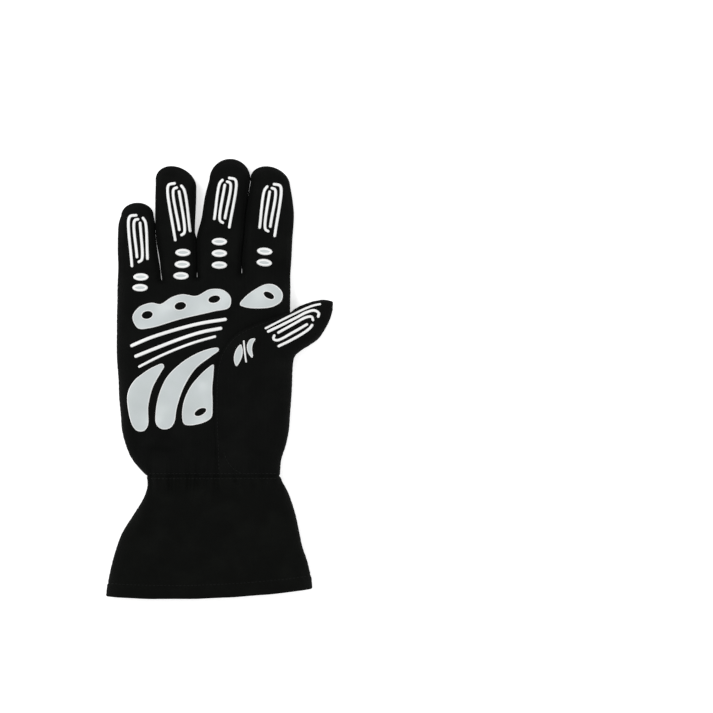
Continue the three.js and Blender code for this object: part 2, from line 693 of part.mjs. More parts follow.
const GRIPS = [
  {
    name: 'grip_thumb_lens_outer',
    shape: padShape([[13.7, 22.9], [15.1, 15.8], [11.1, 8.2], [9.4, 15.0]]),
  },
  {
    name: 'grip_thumb_lens_middle',
    shape: strokeShape([[15.9, 25.0], [16.5, 18.0], [17.4, 11.4]], LENS_STROKE_WIDTH),
  },
  {
    name: 'grip_thumb_lens_inner',
    shape: padShape([[23.4, 26.6], [17.9, 21.6], [21.2, 13.8], [22.4, 20.0]]),
  },
  {
    name: 'grip_teardrop',
    shape: padShape(
      [[13.2, 49.0], [17.4, 47.1], [27.5, 46.5], [35.6, 47.8], [40.8, 51.6], [41.2, 57.0], [36.6, 61.9],
        [30.8, 62.6], [22.6, 58.8], [15.6, 53.0]],
      [[[32.4, 55.1], 7.4, 3.9, -28]],
    ),
  },
  {
    name: 'grip_knuckle_bar',
    shape: padShape(
      [[-57.5, 40.6], [-53.4, 47.2], [-45.0, 50.3], [-39.0, 49.5], [-31.6, 54.0], [-24.6, 55.9],
        [-15.4, 54.9], [-6.8, 59.1], [2.0, 58.8], [7.2, 54.0], [6.4, 47.2], [-4.0, 44.4],
        [-25.6, 39.4], [-46.0, 33.5], [-53.8, 33.4]],
      [[[-47.7, 42.2], 7.2, 5.0, 12], [[-25.9, 48.1], 7.4, 5.0, 12], [[-3.6, 52.6], 7.8, 4.6, 12]],
    ),
  },
  {
    name: 'grip_stripe_1',
    shape: strokeShape([[-57.9, 22.0], [-45.6, 27.2], [-30.4, 32.1], [-13.0, 36.6], [3.7, 39.3]]),
  },
  {
    name: 'grip_stripe_2',
    shape: strokeShape([[-55.2, 15.0], [-40.3, 21.0], [-25.7, 26.6], [-11.6, 31.0], [0.7, 33.4]]),
  },
  {
    name: 'grip_stripe_3',
    shape: strokeShape([[-52.8, 8.2], [-40.3, 14.4], [-28.1, 19.8], [-16.0, 24.3], [-3.3, 28.0]],
      LAST_STRIPE_WIDTH),
  },
  {
    name: 'grip_flame_outer',
    shape: padShape(
      [[-37.0, 9.6], [-47.0, 6.2], [-56.6, -1.0], [-60.9, -10.0], [-60.0, -22.0], [-56.8, -33.0],
        [-51.5, -34.4], [-47.2, -31.5], [-47.0, -18.0], [-43.4, -3.0]],
    ),
  },
  {
    name: 'grip_flame_middle',
    shape: padShape(
      [[-0.3, 20.4], [-12.1, 18.8], [-25.0, 12.2], [-35.6, 1.8], [-41.2, -12.6], [-42.4, -27.6],
        [-37.5, -32.9], [-31.2, -30.3], [-27.4, -11.0], [-18.8, 4.6], [-4.9, 15.9]],
    ),
  },
  {
    name: 'grip_flame_inner',
    shape: padShape(
      [[-4.3, 9.5], [-12.1, 4.2], [-20.0, -5.4], [-24.3, -18.0], [-24.2, -28.4], [-20.6, -30.4],
        [-9.6, -28.2], [-5.2, -24.6], [-5.1, -17.0], [-5.6, -6.0]],
      [[[-12.7, -21.7], 8.2, 4.2, 27]],
    ),
  },
];
FINGER_GRIPS.forEach((grips) => {
  FINGER_STROKES.forEach((stroke, i) => {
    const shape = strokeShape(fingerStroke(grips, stroke));
    GRIPS.push({ name: `grip_${grips.finger}_stroke_${i + 1}`, shape });
  });
  grips.ovals.forEach((centre, i) => {
    const oval = ovalPoints(centre, OVAL_LENGTH, OVAL_WIDTH, grips.ovalTurn, OVAL_POINTS);
    const shape = new THREE.Shape(oval);
    GRIPS.push({ name: `grip_${grips.finger}_oval_${i + 1}`, shape });
  });
});
THUMB_STROKES.forEach((route, i) => {
  GRIPS.push({ name: `grip_thumb_stroke_${i + 1}`, shape: strokeShape(route, THUMB_STROKE_WIDTH) });
});

// Each sub-part with its own material
function clothMaterial(color) {
  return new THREE.MeshStandardMaterial({ color, roughness: 0.95, metalness: 0 });
}

const PANELS = [
  ['palm_panel', 0x0d0f10],
  ['back_panel', 0x0d0f10],
  ['thumb_panel', 0x0e1011],
  ['thumb_back', 0x0e1011],
  ...FOURCHETTES.map((name) => [name, 0x0b0d0e]),
  ['cuff_palm_panel', 0x0c1112],
  ['cuff_back_panel', 0x0c1112],
];

const glove = new THREE.Group();
PANELS.forEach(([name, color]) => {
  const mesh = new THREE.Mesh(panelGeometry(name), clothMaterial(color));
  mesh.name = name;
  glove.add(mesh);
});
GRIPS.forEach(({ name, shape }) => {
  const silicone = new THREE.MeshStandardMaterial({ color: 0xd3d6d9, roughness: 0.5, metalness: 0 });
  const mesh = new THREE.Mesh(gripGeometry(shape), silicone);
  mesh.name = name;
  glove.add(mesh);
});

export default glove;
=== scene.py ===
import math

import bpy
import numpy as np
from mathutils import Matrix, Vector
from mathutils.geometry import delaunay_2d_cdt


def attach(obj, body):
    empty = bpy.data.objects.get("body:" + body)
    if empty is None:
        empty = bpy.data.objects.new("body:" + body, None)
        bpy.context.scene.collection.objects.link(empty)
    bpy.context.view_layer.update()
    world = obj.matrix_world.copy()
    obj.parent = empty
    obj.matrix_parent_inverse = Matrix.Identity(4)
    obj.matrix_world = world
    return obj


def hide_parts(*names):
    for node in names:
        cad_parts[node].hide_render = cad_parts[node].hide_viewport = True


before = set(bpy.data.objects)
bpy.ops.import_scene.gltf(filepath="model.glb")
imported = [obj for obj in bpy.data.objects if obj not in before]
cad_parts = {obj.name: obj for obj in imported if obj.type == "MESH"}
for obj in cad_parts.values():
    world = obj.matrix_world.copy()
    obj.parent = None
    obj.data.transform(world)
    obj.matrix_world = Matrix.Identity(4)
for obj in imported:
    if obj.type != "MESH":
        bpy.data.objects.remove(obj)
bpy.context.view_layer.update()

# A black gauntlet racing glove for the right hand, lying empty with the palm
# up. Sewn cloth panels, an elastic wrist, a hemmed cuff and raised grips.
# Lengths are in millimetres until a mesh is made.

MM = 0.001

# Thickness of the empty glove, and of its cloth
FINGER_HEIGHT = 12.5
PALM_HEIGHT = 15.0
WRIST_HEIGHT = 12.0
MOUTH_HEIGHT = 16.0
WALL = 1.3
HEM_WALL = 1.9
HEM_DEPTH = 8.0
PANEL_GAP = 0.12
LINING_LIFT = 0.25

# Places along the glove: the wrist seam, the heel of the hand, the mouth, and
# a line that the whole hem lies below
WRIST_Y = -64.0
HEEL_Y = -28.0
MOUTH_Y = -140.0
HEM_Y = -110.0
# Where palm turns into fingers, and where the side turns into the thumb
KNUCKLES_Y = (42, 72)
THUMB_SIDE_X = (44, 60)
THUMB_SIDE_Y = (0, 14)
# Half the width of the strips between the fingers
SIDE_BAND = 1.8

# Grips
GRIP_LIFT = 0.1
GRIP_THICKNESS = 0.95
STROKE_WIDTH = 1.9
STRIPE_WIDTH = 2.25

# Sections across each finger, from the crotches up to the shoulder of the tip:
# left end x, y, right end x, y
CROTCHES = [(-38.6, 65.3), (-15.2, 67.3), (14.3, 70.0)]
FINGERS = {
    "little": {"tip": (-54.5, 116.2), "sections": [
        (-67.4, 65.0, *CROTCHES[0]), (-67.1, 74.5, -40.1, 74.5), (-67.4, 85.0, -41.75, 85.0),
        (-67.3, 95.0, -42.9, 95.0), (-66.8, 102.5, -43.2, 102.5), (-65.1, 108.2, -44.3, 108.2)]},
    "ring": {"tip": (-31.0, 140.4), "sections": [
        (*CROTCHES[0], *CROTCHES[1]), (-39.65, 78.0, -15.45, 79.0), (-41.85, 91.0, -15.85, 92.5),
        (-42.6, 103.0, -16.9, 98.5), (-42.6, 118.0, -16.1, 118.0), (-42.3, 130.0, -16.0, 128.0)]},
    "middle": {"tip": (6.6, 145.2), "sections": [
        (*CROTCHES[1], *CROTCHES[2]), (-15.25, 79.0, 14.25, 80.5), (-15.35, 93.0, 15.38, 93.0),
        (-12.1, 106.0, 16.45, 106.0), (-9.9, 120.0, 18.1, 120.0), (-6.9, 131.6, 19.85, 131.8)]},
    "index": {"tip": (30.6, 140.3), "sections": [
        (*CROTCHES[2], 46.1, 68.0), (14.5, 80.5, 46.9, 80.0), (15.87, 93.0, 47.5, 92.0),
        (16.95, 106.0, 48.5, 107.0), (18.66, 120.0, 47.7, 117.5), (20.42, 130.2, 45.6, 129.9)]},
}

# The palm between the fingers and the thumb's crotch
PALM_TOP = [(-67.6, 58.5, 46.2, 59.5), (-67.6, 51.5, 46.1, 51.5)]

# Sections over palm and thumb panel, from the thumb's crotch to the wrist:
# left side of the palm, the seam between the panels, right side of the glove
HAND = [
    {"left": (-67.8, 44.2), "seam": (46.5, 44.2), "right": (54.2, 19.6)},
    {"left": (-67.9, 37.6), "seam": (27.1, 37.6), "right": (50.0, 16.2)},
    {"left": (-67.9, 30.4), "seam": (11.9, 30.4), "right": (48.4, 13.0)},
    {"left": (-68.0, 22.4), "seam": (4.0, 22.4), "right": (47.8, 8.8)},
    {"left": (-67.8, 12.5), "seam": (-1.0, 12.5), "right": (47.5, 3.4)},
    {"left": (-66.8, -0.7), "seam": (-3.0, -0.7), "right": (47.3, -3.5)},
    {"left": (-66.4, -12.0), "seam": (-3.3, -12.0), "right": (46.8, -12.6)},
    {"left": (-65.3, -23.8), "seam": (-3.3, -23.8), "right": (46.0, -23.0)},
    {"left": (-64.5, -33.7), "seam": (-3.0, -33.7), "right": (45.2, -33.7)},
    {"left": (-61.9, -43.9), "seam": (-2.6, -43.6), "right": (43.2, -43.6)},
    {"left": (-57.5, -53.6), "seam": (-2.3, -53.8), "right": (40.1, -53.6)},
    {"left": (-48.4, WRIST_Y), "seam": (-2.0, WRIST_Y), "right": (39.3, WRIST_Y)},
]
THUMB = {"tip": (74.2, 50.9), "taper": 0.7, "sections": [
    (49.7, 46.5, 59.6, 22.9), (54.8, 48.8, 64.8, 26.8), (60.6, 50.8, 69.1, 33.0), (66.2, 52.0, 72.4, 39.6),
    (69.9, 52.0, 74.0, 45.2)]}

# Sections across the cuff, from the wrist down to the mouth:
# left end x, y, right end x, y, and how far the middle hangs below the ends
CUFF = [
    (-47.7, -69.0, 41.4, -69.0, 0.0), (-48.5, -74.0, 44.2, -74.0, 0.0), (-51.2, -80.5, 46.7, -80.5, 0.0),
    (-57.4, -90.4, 49.5, -89.5, 0.4), (-64.3, -101.5, 51.8, -100.0, 0.8), (-68.3, -112.0, 54.0, -110.5, 1.4),
    (-71.3, -122.6, 57.2, -120.0, 2.0), (-73.5, -133.0, 59.4, -129.0, 2.7),
    (-74.1, -137.2, 59.9, -132.4, 3.0), (-74.7, -142.6, 60.4, -137.6, 3.4),
]

# Columns near an edge of the glove, and the most of a width that they take
EDGE_STEPS = np.array([0.0, 0.02, 0.08, 0.2, 0.42, 0.85, 1.3, SIDE_BAND, 2.6, 3.6, 4.8, 6.2])
EDGE_SHARE = 0.42
BAND_COLUMNS = list(EDGE_STEPS).index(SIDE_BAND)
# Fineness of the cloth mesh elsewhere, with rows closer together at a crotch
FINGER_MIDDLE = 9
THUMB_MIDDLE = 16
ROW_PITCH = 1.25
CROTCH_ROWS = 14
CROWDING = 1.6
HAND_STEPS = [CROTCH_ROWS, 12, 8, 8, 10, 9, 9, 8, 8, 8, 8]
TIP_COARSE_ROWS = 4
TINY = 1e-12


def lerp(a, b, s):
    return a + (b - a) * s


def smooth(low, high, value):
    t = np.clip((value - low) / (high - low), 0.0, 1.0)
    return t * t * (3.0 - 2.0 * t)


def bump(distance, width):
    return np.exp(-((distance / width) ** 2))


def quarter_round(distance, reach):
    """From 0 at an edge up to 1 at some reach from it, along a quarter of a circle."""
    return np.sqrt(1 - (1 - np.clip(distance / reach, 0, 1)) ** 2)


def way_along(line):
    """Length of a line up to each of its points."""
    return np.concatenate([[0], np.cumsum(np.linalg.norm(np.diff(line, axis=0), axis=1))])


def sideways(line):
    """The step of length 1 to the left of a line, at each of its points."""
    ahead = np.gradient(line, axis=0)
    ahead /= np.linalg.norm(ahead, axis=1)[:, None]
    return np.column_stack([-ahead[:, 1], ahead[:, 0]])


def catmull(points, steps, crowded_start=False):
    """A smooth run through points, or whole rows of them, with so many steps in each span."""
    points = np.asarray(points, float)
    ends = np.concatenate([[2 * points[0] - points[1]], points, [2 * points[-1] - points[-2]]])
    parts = []
    for i, count in enumerate(steps):
        before, start, end, after = ends[i:i + 4]
        t = np.arange(count) / count
        if crowded_start and i == 0:
            t = t ** CROWDING
        t = t.reshape(-1, *[1] * start.ndim)
        square = 2 * before - 5 * start + 4 * end - after
        cube = 3 * start - before - 3 * end + after
        parts.append(0.5 * (2 * start + (end - before) * t + square * t ** 2 + cube * t ** 3))
    return np.concatenate(parts + [points[-1:]])


def edge_steps(width):
    """Distances in from an edge, closer together where the width is too small for all of them."""
    return EDGE_STEPS * min(1.0, EDGE_SHARE * width / EDGE_STEPS[-1])


def fractions(width, middle):
    """Columns across a width: close together at both edges, and as middle says between them."""
    edge = edge_steps(width) / width
    return np.concatenate([edge, lerp(edge[-1], 1 - edge[-1], middle), 1 - edge[::-1]])


def even(count):
    return np.linspace(0, 1, count + 2)[1:-1]


def section_row(section, middle):
    left, right = np.array(section[:2]), np.array(section[2:])
    s = fractions(np.linalg.norm(right - left), middle)[:, None]
    return lerp(left, right, s)


def span_steps(rows):
    """Steps between rows, so that each step is about ROW_PITCH long."""
    lengths = [float(np.linalg.norm(b - a, axis=1).mean()) for a, b in zip(rows, rows[1:])]
    return [max(2, round(length / ROW_PITCH)) for length in lengths]


# How far round the tip of a finger its sides reach
TIP_ANGLE = math.radians(58)


def tip_rows(section, tip, middle, taper=0.0):
    """The round end of a finger, from its last section to the outline of its tip."""
    left, right = np.array(section[:2]), np.array(section[2:])
    centre, half = (left + right) / 2, (right - left) / 2
    reach = np.array(tip) - centre

    def outline(angle):
        angle = np.asarray(angle)[..., None]
        narrowing = 1 - taper * np.sin(angle)
        return centre + half * np.cos(angle) * narrowing + reach * np.sin(angle)

    s = fractions(np.linalg.norm(right - left), middle)[:, None]
    base = lerp(left, right, s)
    top = outline(lerp(math.pi - TIP_ANGLE, TIP_ANGLE, s[:, 0]))
    length = np.linalg.norm(reach)
    near = edge_steps(2 * length) / length
    ups = np.concatenate([np.linspace(0, 1 - near[-1], TIP_COARSE_ROWS)[1:], 1 - near[-2::-1]])
    rows = []
    for up in ups:
        plain = lerp(base, top, up)
        left_shift = outline(math.pi - TIP_ANGLE * up) - plain[0]
        right_shift = outline(TIP_ANGLE * up) - plain[-1]
        rows.append(plain + lerp(left_shift, right_shift, s))
    return np.array(rows)


def finger_tip(finger):
    return tip_rows(finger["sections"][-1], finger["tip"], even(FINGER_MIDDLE))


def finger_grid(finger):
    rows = [section_row(section, even(FINGER_MIDDLE)) for section in finger["sections"]]
    return np.concatenate([catmull(rows, span_steps(rows)), finger_tip(finger)])


def palm_grid(top_row):
    """Rows from the finger bases down to the wrist, and the number of rows above the thumb's crotch."""
    edge = len(EDGE_STEPS)
    count = len(top_row) - 2 * edge
    upper = [top_row] + [section_row(section, even(count)) for section in PALM_TOP]
    lower = [section_row((*row["left"], *row["seam"]), even(count)) for row in HAND]
    steps = span_steps(upper + lower[:1])
    above = catmull(upper + lower[:1], [CROTCH_ROWS] + steps[1:], crowded_start=True)
    below = catmull(lower, HAND_STEPS, crowded_start=True)
    return np.concatenate([above[:-1], below]), len(above)


def ball_grid():
    """Rows of the thumb panel, from the wrist to the thumb's crotch."""
    rows = [section_row((*row["seam"], *row["right"]), even(THUMB_MIDDLE)) for row in HAND]
    return catmull(rows, HAND_STEPS, crowded_start=True)[::-1]


def thumb_grid(base_row):
    rows = [base_row] + [section_row(section, even(THUMB_MIDDLE)) for section in THUMB["sections"]]
    body = catmull(rows, span_steps(rows))
    tip = tip_rows(THUMB["sections"][-1], THUMB["tip"], even(THUMB_MIDDLE), THUMB["taper"])
    return np.concatenate([body, tip])


def cuff_grid(wrist_row):
    across = way_along(wrist_row)
    s = (across / across[-1])[:, None]
    rows = [wrist_row]
    for left_x, left_y, right_x, right_y, hang in CUFF:
        row = lerp(np.array([left_x, left_y]), np.array([right_x, right_y]), s)
        row[:, 1] -= hang * 4 * s[:, 0] * (1 - s[:, 0])
        rows.append(row)
    return catmull(rows, span_steps(rows))


finger_grids ={name: finger_grid(finger) for name, finger in FINGERS.items()}
base_rows = [grid[0] for grid in finger_grids.values()]
palm, rows_above_crotch = palm_grid(np.concatenate([base_rows[0]] + [row[1:] for row in base_rows[1:]]))
ball = ball_grid()
thumb = thumb_grid(ball[-1])
cuff = cuff_grid(np.concatenate([palm[-1], ball[0][1:]]))

# The outline of the glove, without its mouth
outline_lines = [grid[:, side] for grid in finger_grids.values() for side in (0, -1)]
outline_lines += [grid[-1] for grid in finger_grids.values()]
outline_lines += [palm[:, 0], palm[:rows_above_crotch, -1], ball[:, -1]]
outline_lines += [thumb[:, 0], thumb[:, -1], thumb[-1], cuff[:, 0], cuff[:, -1]]
thumb_seam = palm[rows_above_crotch - 1:, -1]

# Points that are measured at once
POINTS_AT_ONCE = 1500


def line_offset(points, lines):
    """The way to each point from the nearest place on some lines."""
    starts = np.concatenate([line[:-1] for line in lines])
    steps = np.concatenate([np.diff(line, axis=0) for line in lines])
    lengths = (steps ** 2).sum(axis=1)
    keep = lengths > TINY
    starts, steps, lengths = starts[keep], steps[keep], lengths[keep]
    parts = []
    for part in np.array_split(points, len(points) // POINTS_AT_ONCE + 1):
        offset = part[:, None] - starts
        along = np.clip((offset * steps).sum(axis=2) / lengths, 0, 1)
        away = offset - along[..., None] * steps
        nearest = (away ** 2).sum(axis=2).argmin(axis=1)
        parts.append(away[np.arange(len(part)), nearest])
    return np.concatenate(parts)


def line_distance(points, lines):
    return np.linalg.norm(line_offset(points, lines), axis=1)


# Soft folds of the palm side: middle x, y, direction in degrees, length,
# width and depth
FOLDS = [
    (-54.0, 68.5, 2, 22, 2.6, 0.5), (-27.0, 66.0, 5, 20, 2.4, 0.45), (1.0, 71.5, 4, 22, 2.4, 0.45),
    (30.0, 72.5, -4, 26, 2.8, 0.5), (-55.0, 88.0, -3, 18, 2.2, 0.3), (-29.0, 92.0, -8, 17, 2.2, 0.3),
    (1.5, 96.0, 8, 18, 2.2, 0.3), (31.0, 92.0, 6, 20, 2.2, 0.3), (44.0, 33.0, 62, 24, 3.2, 0.8),
    (52.0, 37.5, 108, 22, 2.6, 0.55), (30.0, 24.0, 35, 30, 4.0, 0.6), (20.0, -18.0, 80, 46, 5.0, 0.7),
    (-40.0, -44.0, 60, 26, 4.0, 0.6), (36.0, -38.0, 105, 30, 3.6, 0.6), (-10.0, 2.0, 40, 50, 5.5, 0.5),
    (-24.0, -100.0, 97, 46, 6.0, 0.9), (6.0, -104.0, 88, 52, 7.0, 0.8), (31.0, -98.0, 74, 42, 5.5, 0.9),
    (-49.0, -104.0, 66, 44, 5.0, 0.8), (-8.0, -122.0, 12, 60, 5.0, 0.4), (44.0, -116.0, 66, 32, 4.5, 0.6),
    (31.0, -2.0, 30, 34, 3.2, 0.7), (-42.0, -47.5, -7, 24, 2.4, 0.6), (-14.0, -44.0, 12, 26, 2.6, 0.4),
    (24.0, -50.0, -32, 20, 2.2, 0.5), (30.0, -42.0, 20, 18, 2.2, 0.4),
]
FOLD_FULLNESS = 1.3
FOLD_BEND = 0.03
# The trough beside each fold: its share of the depth, and how many widths off
TROUGH_SHARE = 0.45
TROUGH_SIDE = 1.6
# Gathers of the elastic wrist: pitch, depth and shift of each wave, and how
# they sway
GATHERS = [(14.0, 0.75, 0.0), (6.1, 0.55, 1.1), (4.3, 0.3, 2.3)]
GATHERS_Y = WRIST_Y - 3
GATHER_REACH = 17.0
GATHER_SWAY = 0.06
SWAY_PITCH = 9
# Unevenness of the slack cloth
SLACK_WAVES = 14
SLACK_DEPTH = 0.22
SLACK_PITCHES = (11, 34)
SLACK_MIDDLE_PITCH = 22


def slack(points, seed):
    """Gentle unevenness of cloth that nothing fills."""
    chance = np.random.default_rng(seed)
    total = np.zeros(len(points))
    for _ in range(SLACK_WAVES):
        angle, phase = chance.uniform(0, 2 * math.pi, 2)
        pitch = chance.uniform(*SLACK_PITCHES)
        along = points @ [math.cos(angle), math.sin(angle)]
        total += np.sin(along * 2 * math.pi / pitch + phase) * pitch / SLACK_MIDDLE_PITCH
    return total * SLACK_DEPTH


def folds(points):
    total = np.zeros(len(points))
    for x, y, degrees, length, width, depth in FOLDS:
        along = np.array([math.cos(math.radians(degrees)), math.sin(math.radians(degrees))])
        offset = points - [x, y]
        down = offset @ along
        side = offset @ [-along[1], along[0]] - FOLD_BEND * down ** 2 / length
        trough = TROUGH_SHARE * bump(side - TROUGH_SIDE * width, width)
        total += depth * bump(down, length / 2) * (bump(side, width) - trough)
    return total * FOLD_FULLNESS


def gathers(points):
    near = 1 - smooth(0, GATHER_REACH, np.abs(points[:, 1] - GATHERS_Y))
    x = points[:, 0] + GATHER_SWAY * (points[:, 1] - WRIST_Y) * np.sin(points[:, 0] / SWAY_PITCH)
    return near * sum(depth * np.sin(2 * math.pi * x / pitch + shift) for pitch, depth, shift in GATHERS)


def full_height(points):
    """Thickness of the glove before its edges are rounded."""
    x, y = points.T
    hand = lerp(PALM_HEIGHT, FINGER_HEIGHT, smooth(*KNUCKLES_Y, y))
    side = lerp(hand, FINGER_HEIGHT, smooth(*THUMB_SIDE_X, x) * smooth(*THUMB_SIDE_Y, y))
    above_wrist = lerp(WRIST_HEIGHT, side, smooth(WRIST_Y, HEEL_Y, y))
    below_wrist = lerp(WRIST_HEIGHT, MOUTH_HEIGHT, 1 - smooth(MOUTH_Y, WRIST_Y, y))
    return np.where(y > WRIST_Y, above_wrist, below_wrist)


# How far the middle of the palm side is fuller than its edges, and where
FINGER_CROWN = 0.8
PALM_CROWN = 2.0
CROWN_REACH = 24.0
CROWN_Y = (40, 72)
# The hollow along the thumb's seam, which fades towards the wrist
CREASE_DEPTH = 1.6
CREASE_WIDTH = 3.2
CREASE_Y = (-40, 10)
# How far the elastic wrist lifts the back off the floor
BACK_LIFT = 0.35
BACK_GATHER_SHARE = 0.6
# Which of the chance folds the cloth has
SLACK_SEED = 3


def palm_side(points):
    """Height of the palm side, and distance in from the edge of the glove."""
    edge = line_distance(points, outline_lines)
    height = full_height(points)
    round_off = quarter_round(edge, height / 2)
    crown = lerp(PALM_CROWN, FINGER_CROWN, smooth(*CROWN_Y, points[:, 1]))
    crown = crown * (1 - (1 - np.clip(edge / CROWN_REACH, 0, 1)) ** 2)
    crease = CREASE_DEPTH * bump(line_distance(points, [thumb_seam]), CREASE_WIDTH)
    crease = crease * smooth(*CREASE_Y, points[:, 1])
    soft = crown - crease - folds(points) + gathers(points) + slack(points, SLACK_SEED)
    return height / 2 * (1 + round_off) + round_off * soft, edge


def back_side(points, edge):
    """Height of the back, which lies flat where the glove rests."""
    height = full_height(points)
    round_off = quarter_round(edge, height / 2)
    near_wrist = 1 - smooth(0, GATHER_REACH, np.abs(points[:, 1] - WRIST_Y))
    lift = np.clip(BACK_LIFT + gathers(points) * BACK_GATHER_SHARE, 0, None) * near_wrist
    return height / 2 * (1 - round_off) + round_off * lift


# The skin: every grid's points are numbered once, and each small face knows
# its panel on the palm side and on the back
numbers = {}
flat_points = []


def number_of(point):
    key = (round(float(point[0]) * 1000), round(float(point[1]) * 1000))
    if key not in numbers:
        numbers[key] = len(flat_points)
        flat_points.append(point)
    return numbers[key]


def grid_numbers(grid):
    return np.array([[number_of(point) for point in row] for row in grid])


def grid_faces(ids, upward):
    """Corners of a grid's small faces, counter-clockwise seen from the palm side."""
    low, high = (ids[:-1], ids[1:]) if upward else (ids[1:], ids[:-1])
    return np.stack([low[:, :-1], low[:, 1:], high[:, 1:], high[:, :-1]], axis=2)


# The strips between the fingers turn this many rows down onto the palm
FOURCHETTES = ["little_ring", "ring_middle", "middle_index"]
PANELS = ["palm", "back", "thumb", "thumb_back", *FOURCHETTES, "cuff_palm", "cuff_back"]
TURN_ROWS = 2


skin_parts = []


def add_to_skin(grid, upward, palm_name, back_name):
    """Add a grid's faces to the skin, and give the panel numbers of its palm side and back."""
    small = grid_faces(grid_numbers(grid), upward)
    sides = [np.full(small.shape[:2], PANELS.index(name)) for name in (palm_name, back_name)]
    skin_parts.append((small, *sides))
    return sides


for i, (name, grid) in enumerate(finger_grids.items()):
    side_rows = len(grid) - len(finger_tip(FINGERS[name]))
    for side in add_to_skin(grid, True, "palm", "back"):
        if i > 0:
            side[:side_rows, :BAND_COLUMNS] = PANELS.index(FOURCHETTES[i - 1])
        if i < len(FOURCHETTES):
            side[:side_rows, -BAND_COLUMNS:] = PANELS.index(FOURCHETTES[i])

finger_columns = len(base_rows[0]) - 1
for side in add_to_skin(palm, False, "palm", "back"):
    for i, fourchette in enumerate(FOURCHETTES):
        middle = finger_columns * (i + 1)
        side[:TURN_ROWS, middle - BAND_COLUMNS:middle + BAND_COLUMNS] = PANELS.index(fourchette)

add_to_skin(ball, True, "thumb", "back")
add_to_skin(thumb, True, "thumb", "thumb_back")
add_to_skin(cuff, False, "cuff_palm", "cuff_back")
mouth_numbers = grid_numbers(cuff[-1:])[0]

flat = np.array(flat_points)
count = len(flat)
on_outline = np.zeros(count, bool)
for line in outline_lines:
    on_outline[[number_of(point) for point in line]] = True

palm_height, edge = palm_side(flat)
back_height = back_side(flat, edge)
middle_height = full_height(flat) / 2
palm_height[on_outline] = middle_height[on_outline]
back_height[on_outline] = middle_height[on_outline]
back_of = np.where(on_outline, np.arange(count), np.arange(count) + count)
skin = np.concatenate([np.column_stack([flat, palm_height]), np.column_stack([flat, back_height])])

palm_quads = np.concatenate([part[0].reshape(-1, 4) for part in skin_parts])
palm_panels = np.concatenate([part[1].ravel() for part in skin_parts])
back_panels = np.concatenate([part[2].ravel() for part in skin_parts])
quads = np.concatenate([palm_quads, back_of[palm_quads[:, ::-1]]])
panel_of = np.concatenate([palm_panels, back_panels])


def vertex_normals(points):
    across = np.cross(points[quads[:, 2]] - points[quads[:, 0]], points[quads[:, 3]] - points[quads[:, 1]])
    total = np.zeros_like(points)
    for corner in range(4):
        np.add.at(total, quads[:, corner], across)
    return total / np.maximum(np.linalg.norm(total, axis=1), TINY)[:, None]


# Seams: each pulls the cloth in along a narrow line, with small puckers
SEAM_DEPTH = 0.4
DEEP_SEAM = 0.5
SEAM_WIDTH = 0.75
PUCKER_DEPTH = 0.06
PUCKER_PITCH = 3.4
PUCKER_REACH = 3.2
PUCKER_SLANT = 0.4
# The sides swell beside their seam, but not at a crotch
SIDE_SWELL = 0.42
SIDE_SWELL_REACH = 2.6
CROTCH_REACH = 5.0
SEAM_EASE = 3.0
# On the fingers the side seams pucker less, and the strips between them have
# seams of their own
FINGER_SEAMS_Y = (60, 66)
FINGER_CALM = 0.85
STRIP_SEAM_DEPTH = 0.35
STRIP_PUCKERS = 0.3
STRIP_REACH = 6.0
# The hem's seam, and how far the folded hem stands out
HEM_SEAM_DEPTH = 0.45
HEM_SEAM_WIDTH = 0.8
HEM_TURN = 0.3
HEM_TURN_BLEND = 0.7
HEM_WALL_BLEND = 0.6


def arc_from_side_seam(edge_distance, height):
    """Way over the rounded side, from the side seam half-way up it."""
    radius = height / 2
    return radius * np.arccos(1 - np.clip(edge_distance / radius, 0, 1))


def pucker(along):
    even_wave = np.sin(along * 2 * math.pi / PUCKER_PITCH)
    uneven_wave = 0.5 * np.sin(along * 4.3 / PUCKER_PITCH + 1)
    return PUCKER_DEPTH * (even_wave + uneven_wave)


def seam_pull(distance, along, depth=SEAM_DEPTH, puckers=1.0):
    return depth * bump(distance, SEAM_WIDTH) - puckers * pucker(along) * bump(distance, PUCKER_REACH)


def lower_edge_distance(points):
    return line_distance(points, [cuff[-1]])


def pulled_in(points, edge_distance):
    """How far the seams that palm side and back share pull each point of the flat pattern in."""
    x, y = points.T
    side = arc_from_side_seam(edge_distance, full_height(points))
    swell = SIDE_SWELL * bump(edge_distance, SIDE_SWELL_REACH)
    for crotch in CROTCHES + [HAND[0]["seam"]]:
        swell = swell * (1 - bump(np.hypot(x - crotch[0], y - crotch[1]), CROTCH_REACH))
    on_fingers = smooth(*FINGER_SEAMS_Y, y)
    sewn_side = seam_pull(side, y + PUCKER_SLANT * x, puckers=1 - FINGER_CALM * on_fingers) - swell
    strip_seam = seam_pull(edge_distance - SIDE_BAND, y, STRIP_SEAM_DEPTH, STRIP_PUCKERS)
    between_fingers = on_fingers * strip_seam * (edge_distance < STRIP_REACH)
    wrist = seam_pull(y - WRIST_Y, x, DEEP_SEAM)
    hem_line = lower_edge_distance(points) - HEM_DEPTH
    turned = 1 - smooth(-HEM_TURN_BLEND, HEM_TURN_BLEND, hem_line)
    hem = HEM_SEAM_DEPTH * bump(hem_line, HEM_SEAM_WIDTH) - HEM_TURN * turned
    return sewn_side + between_fingers + wrist + np.where(y < HEM_Y, hem, 0)


def thumb_seam_pull(points):
    """How far the seam round the thumb panel pulls in, which eases off at the thumb's crotch."""
    from_crotch = np.linalg.norm(points - thumb_seam[0], axis=1)
    along = points[:, 1] + points[:, 0]
    sewn = seam_pull(line_distance(points, [thumb_seam]), along, DEEP_SEAM)
    return sewn * (1 - bump(from_crotch, SEAM_EASE))


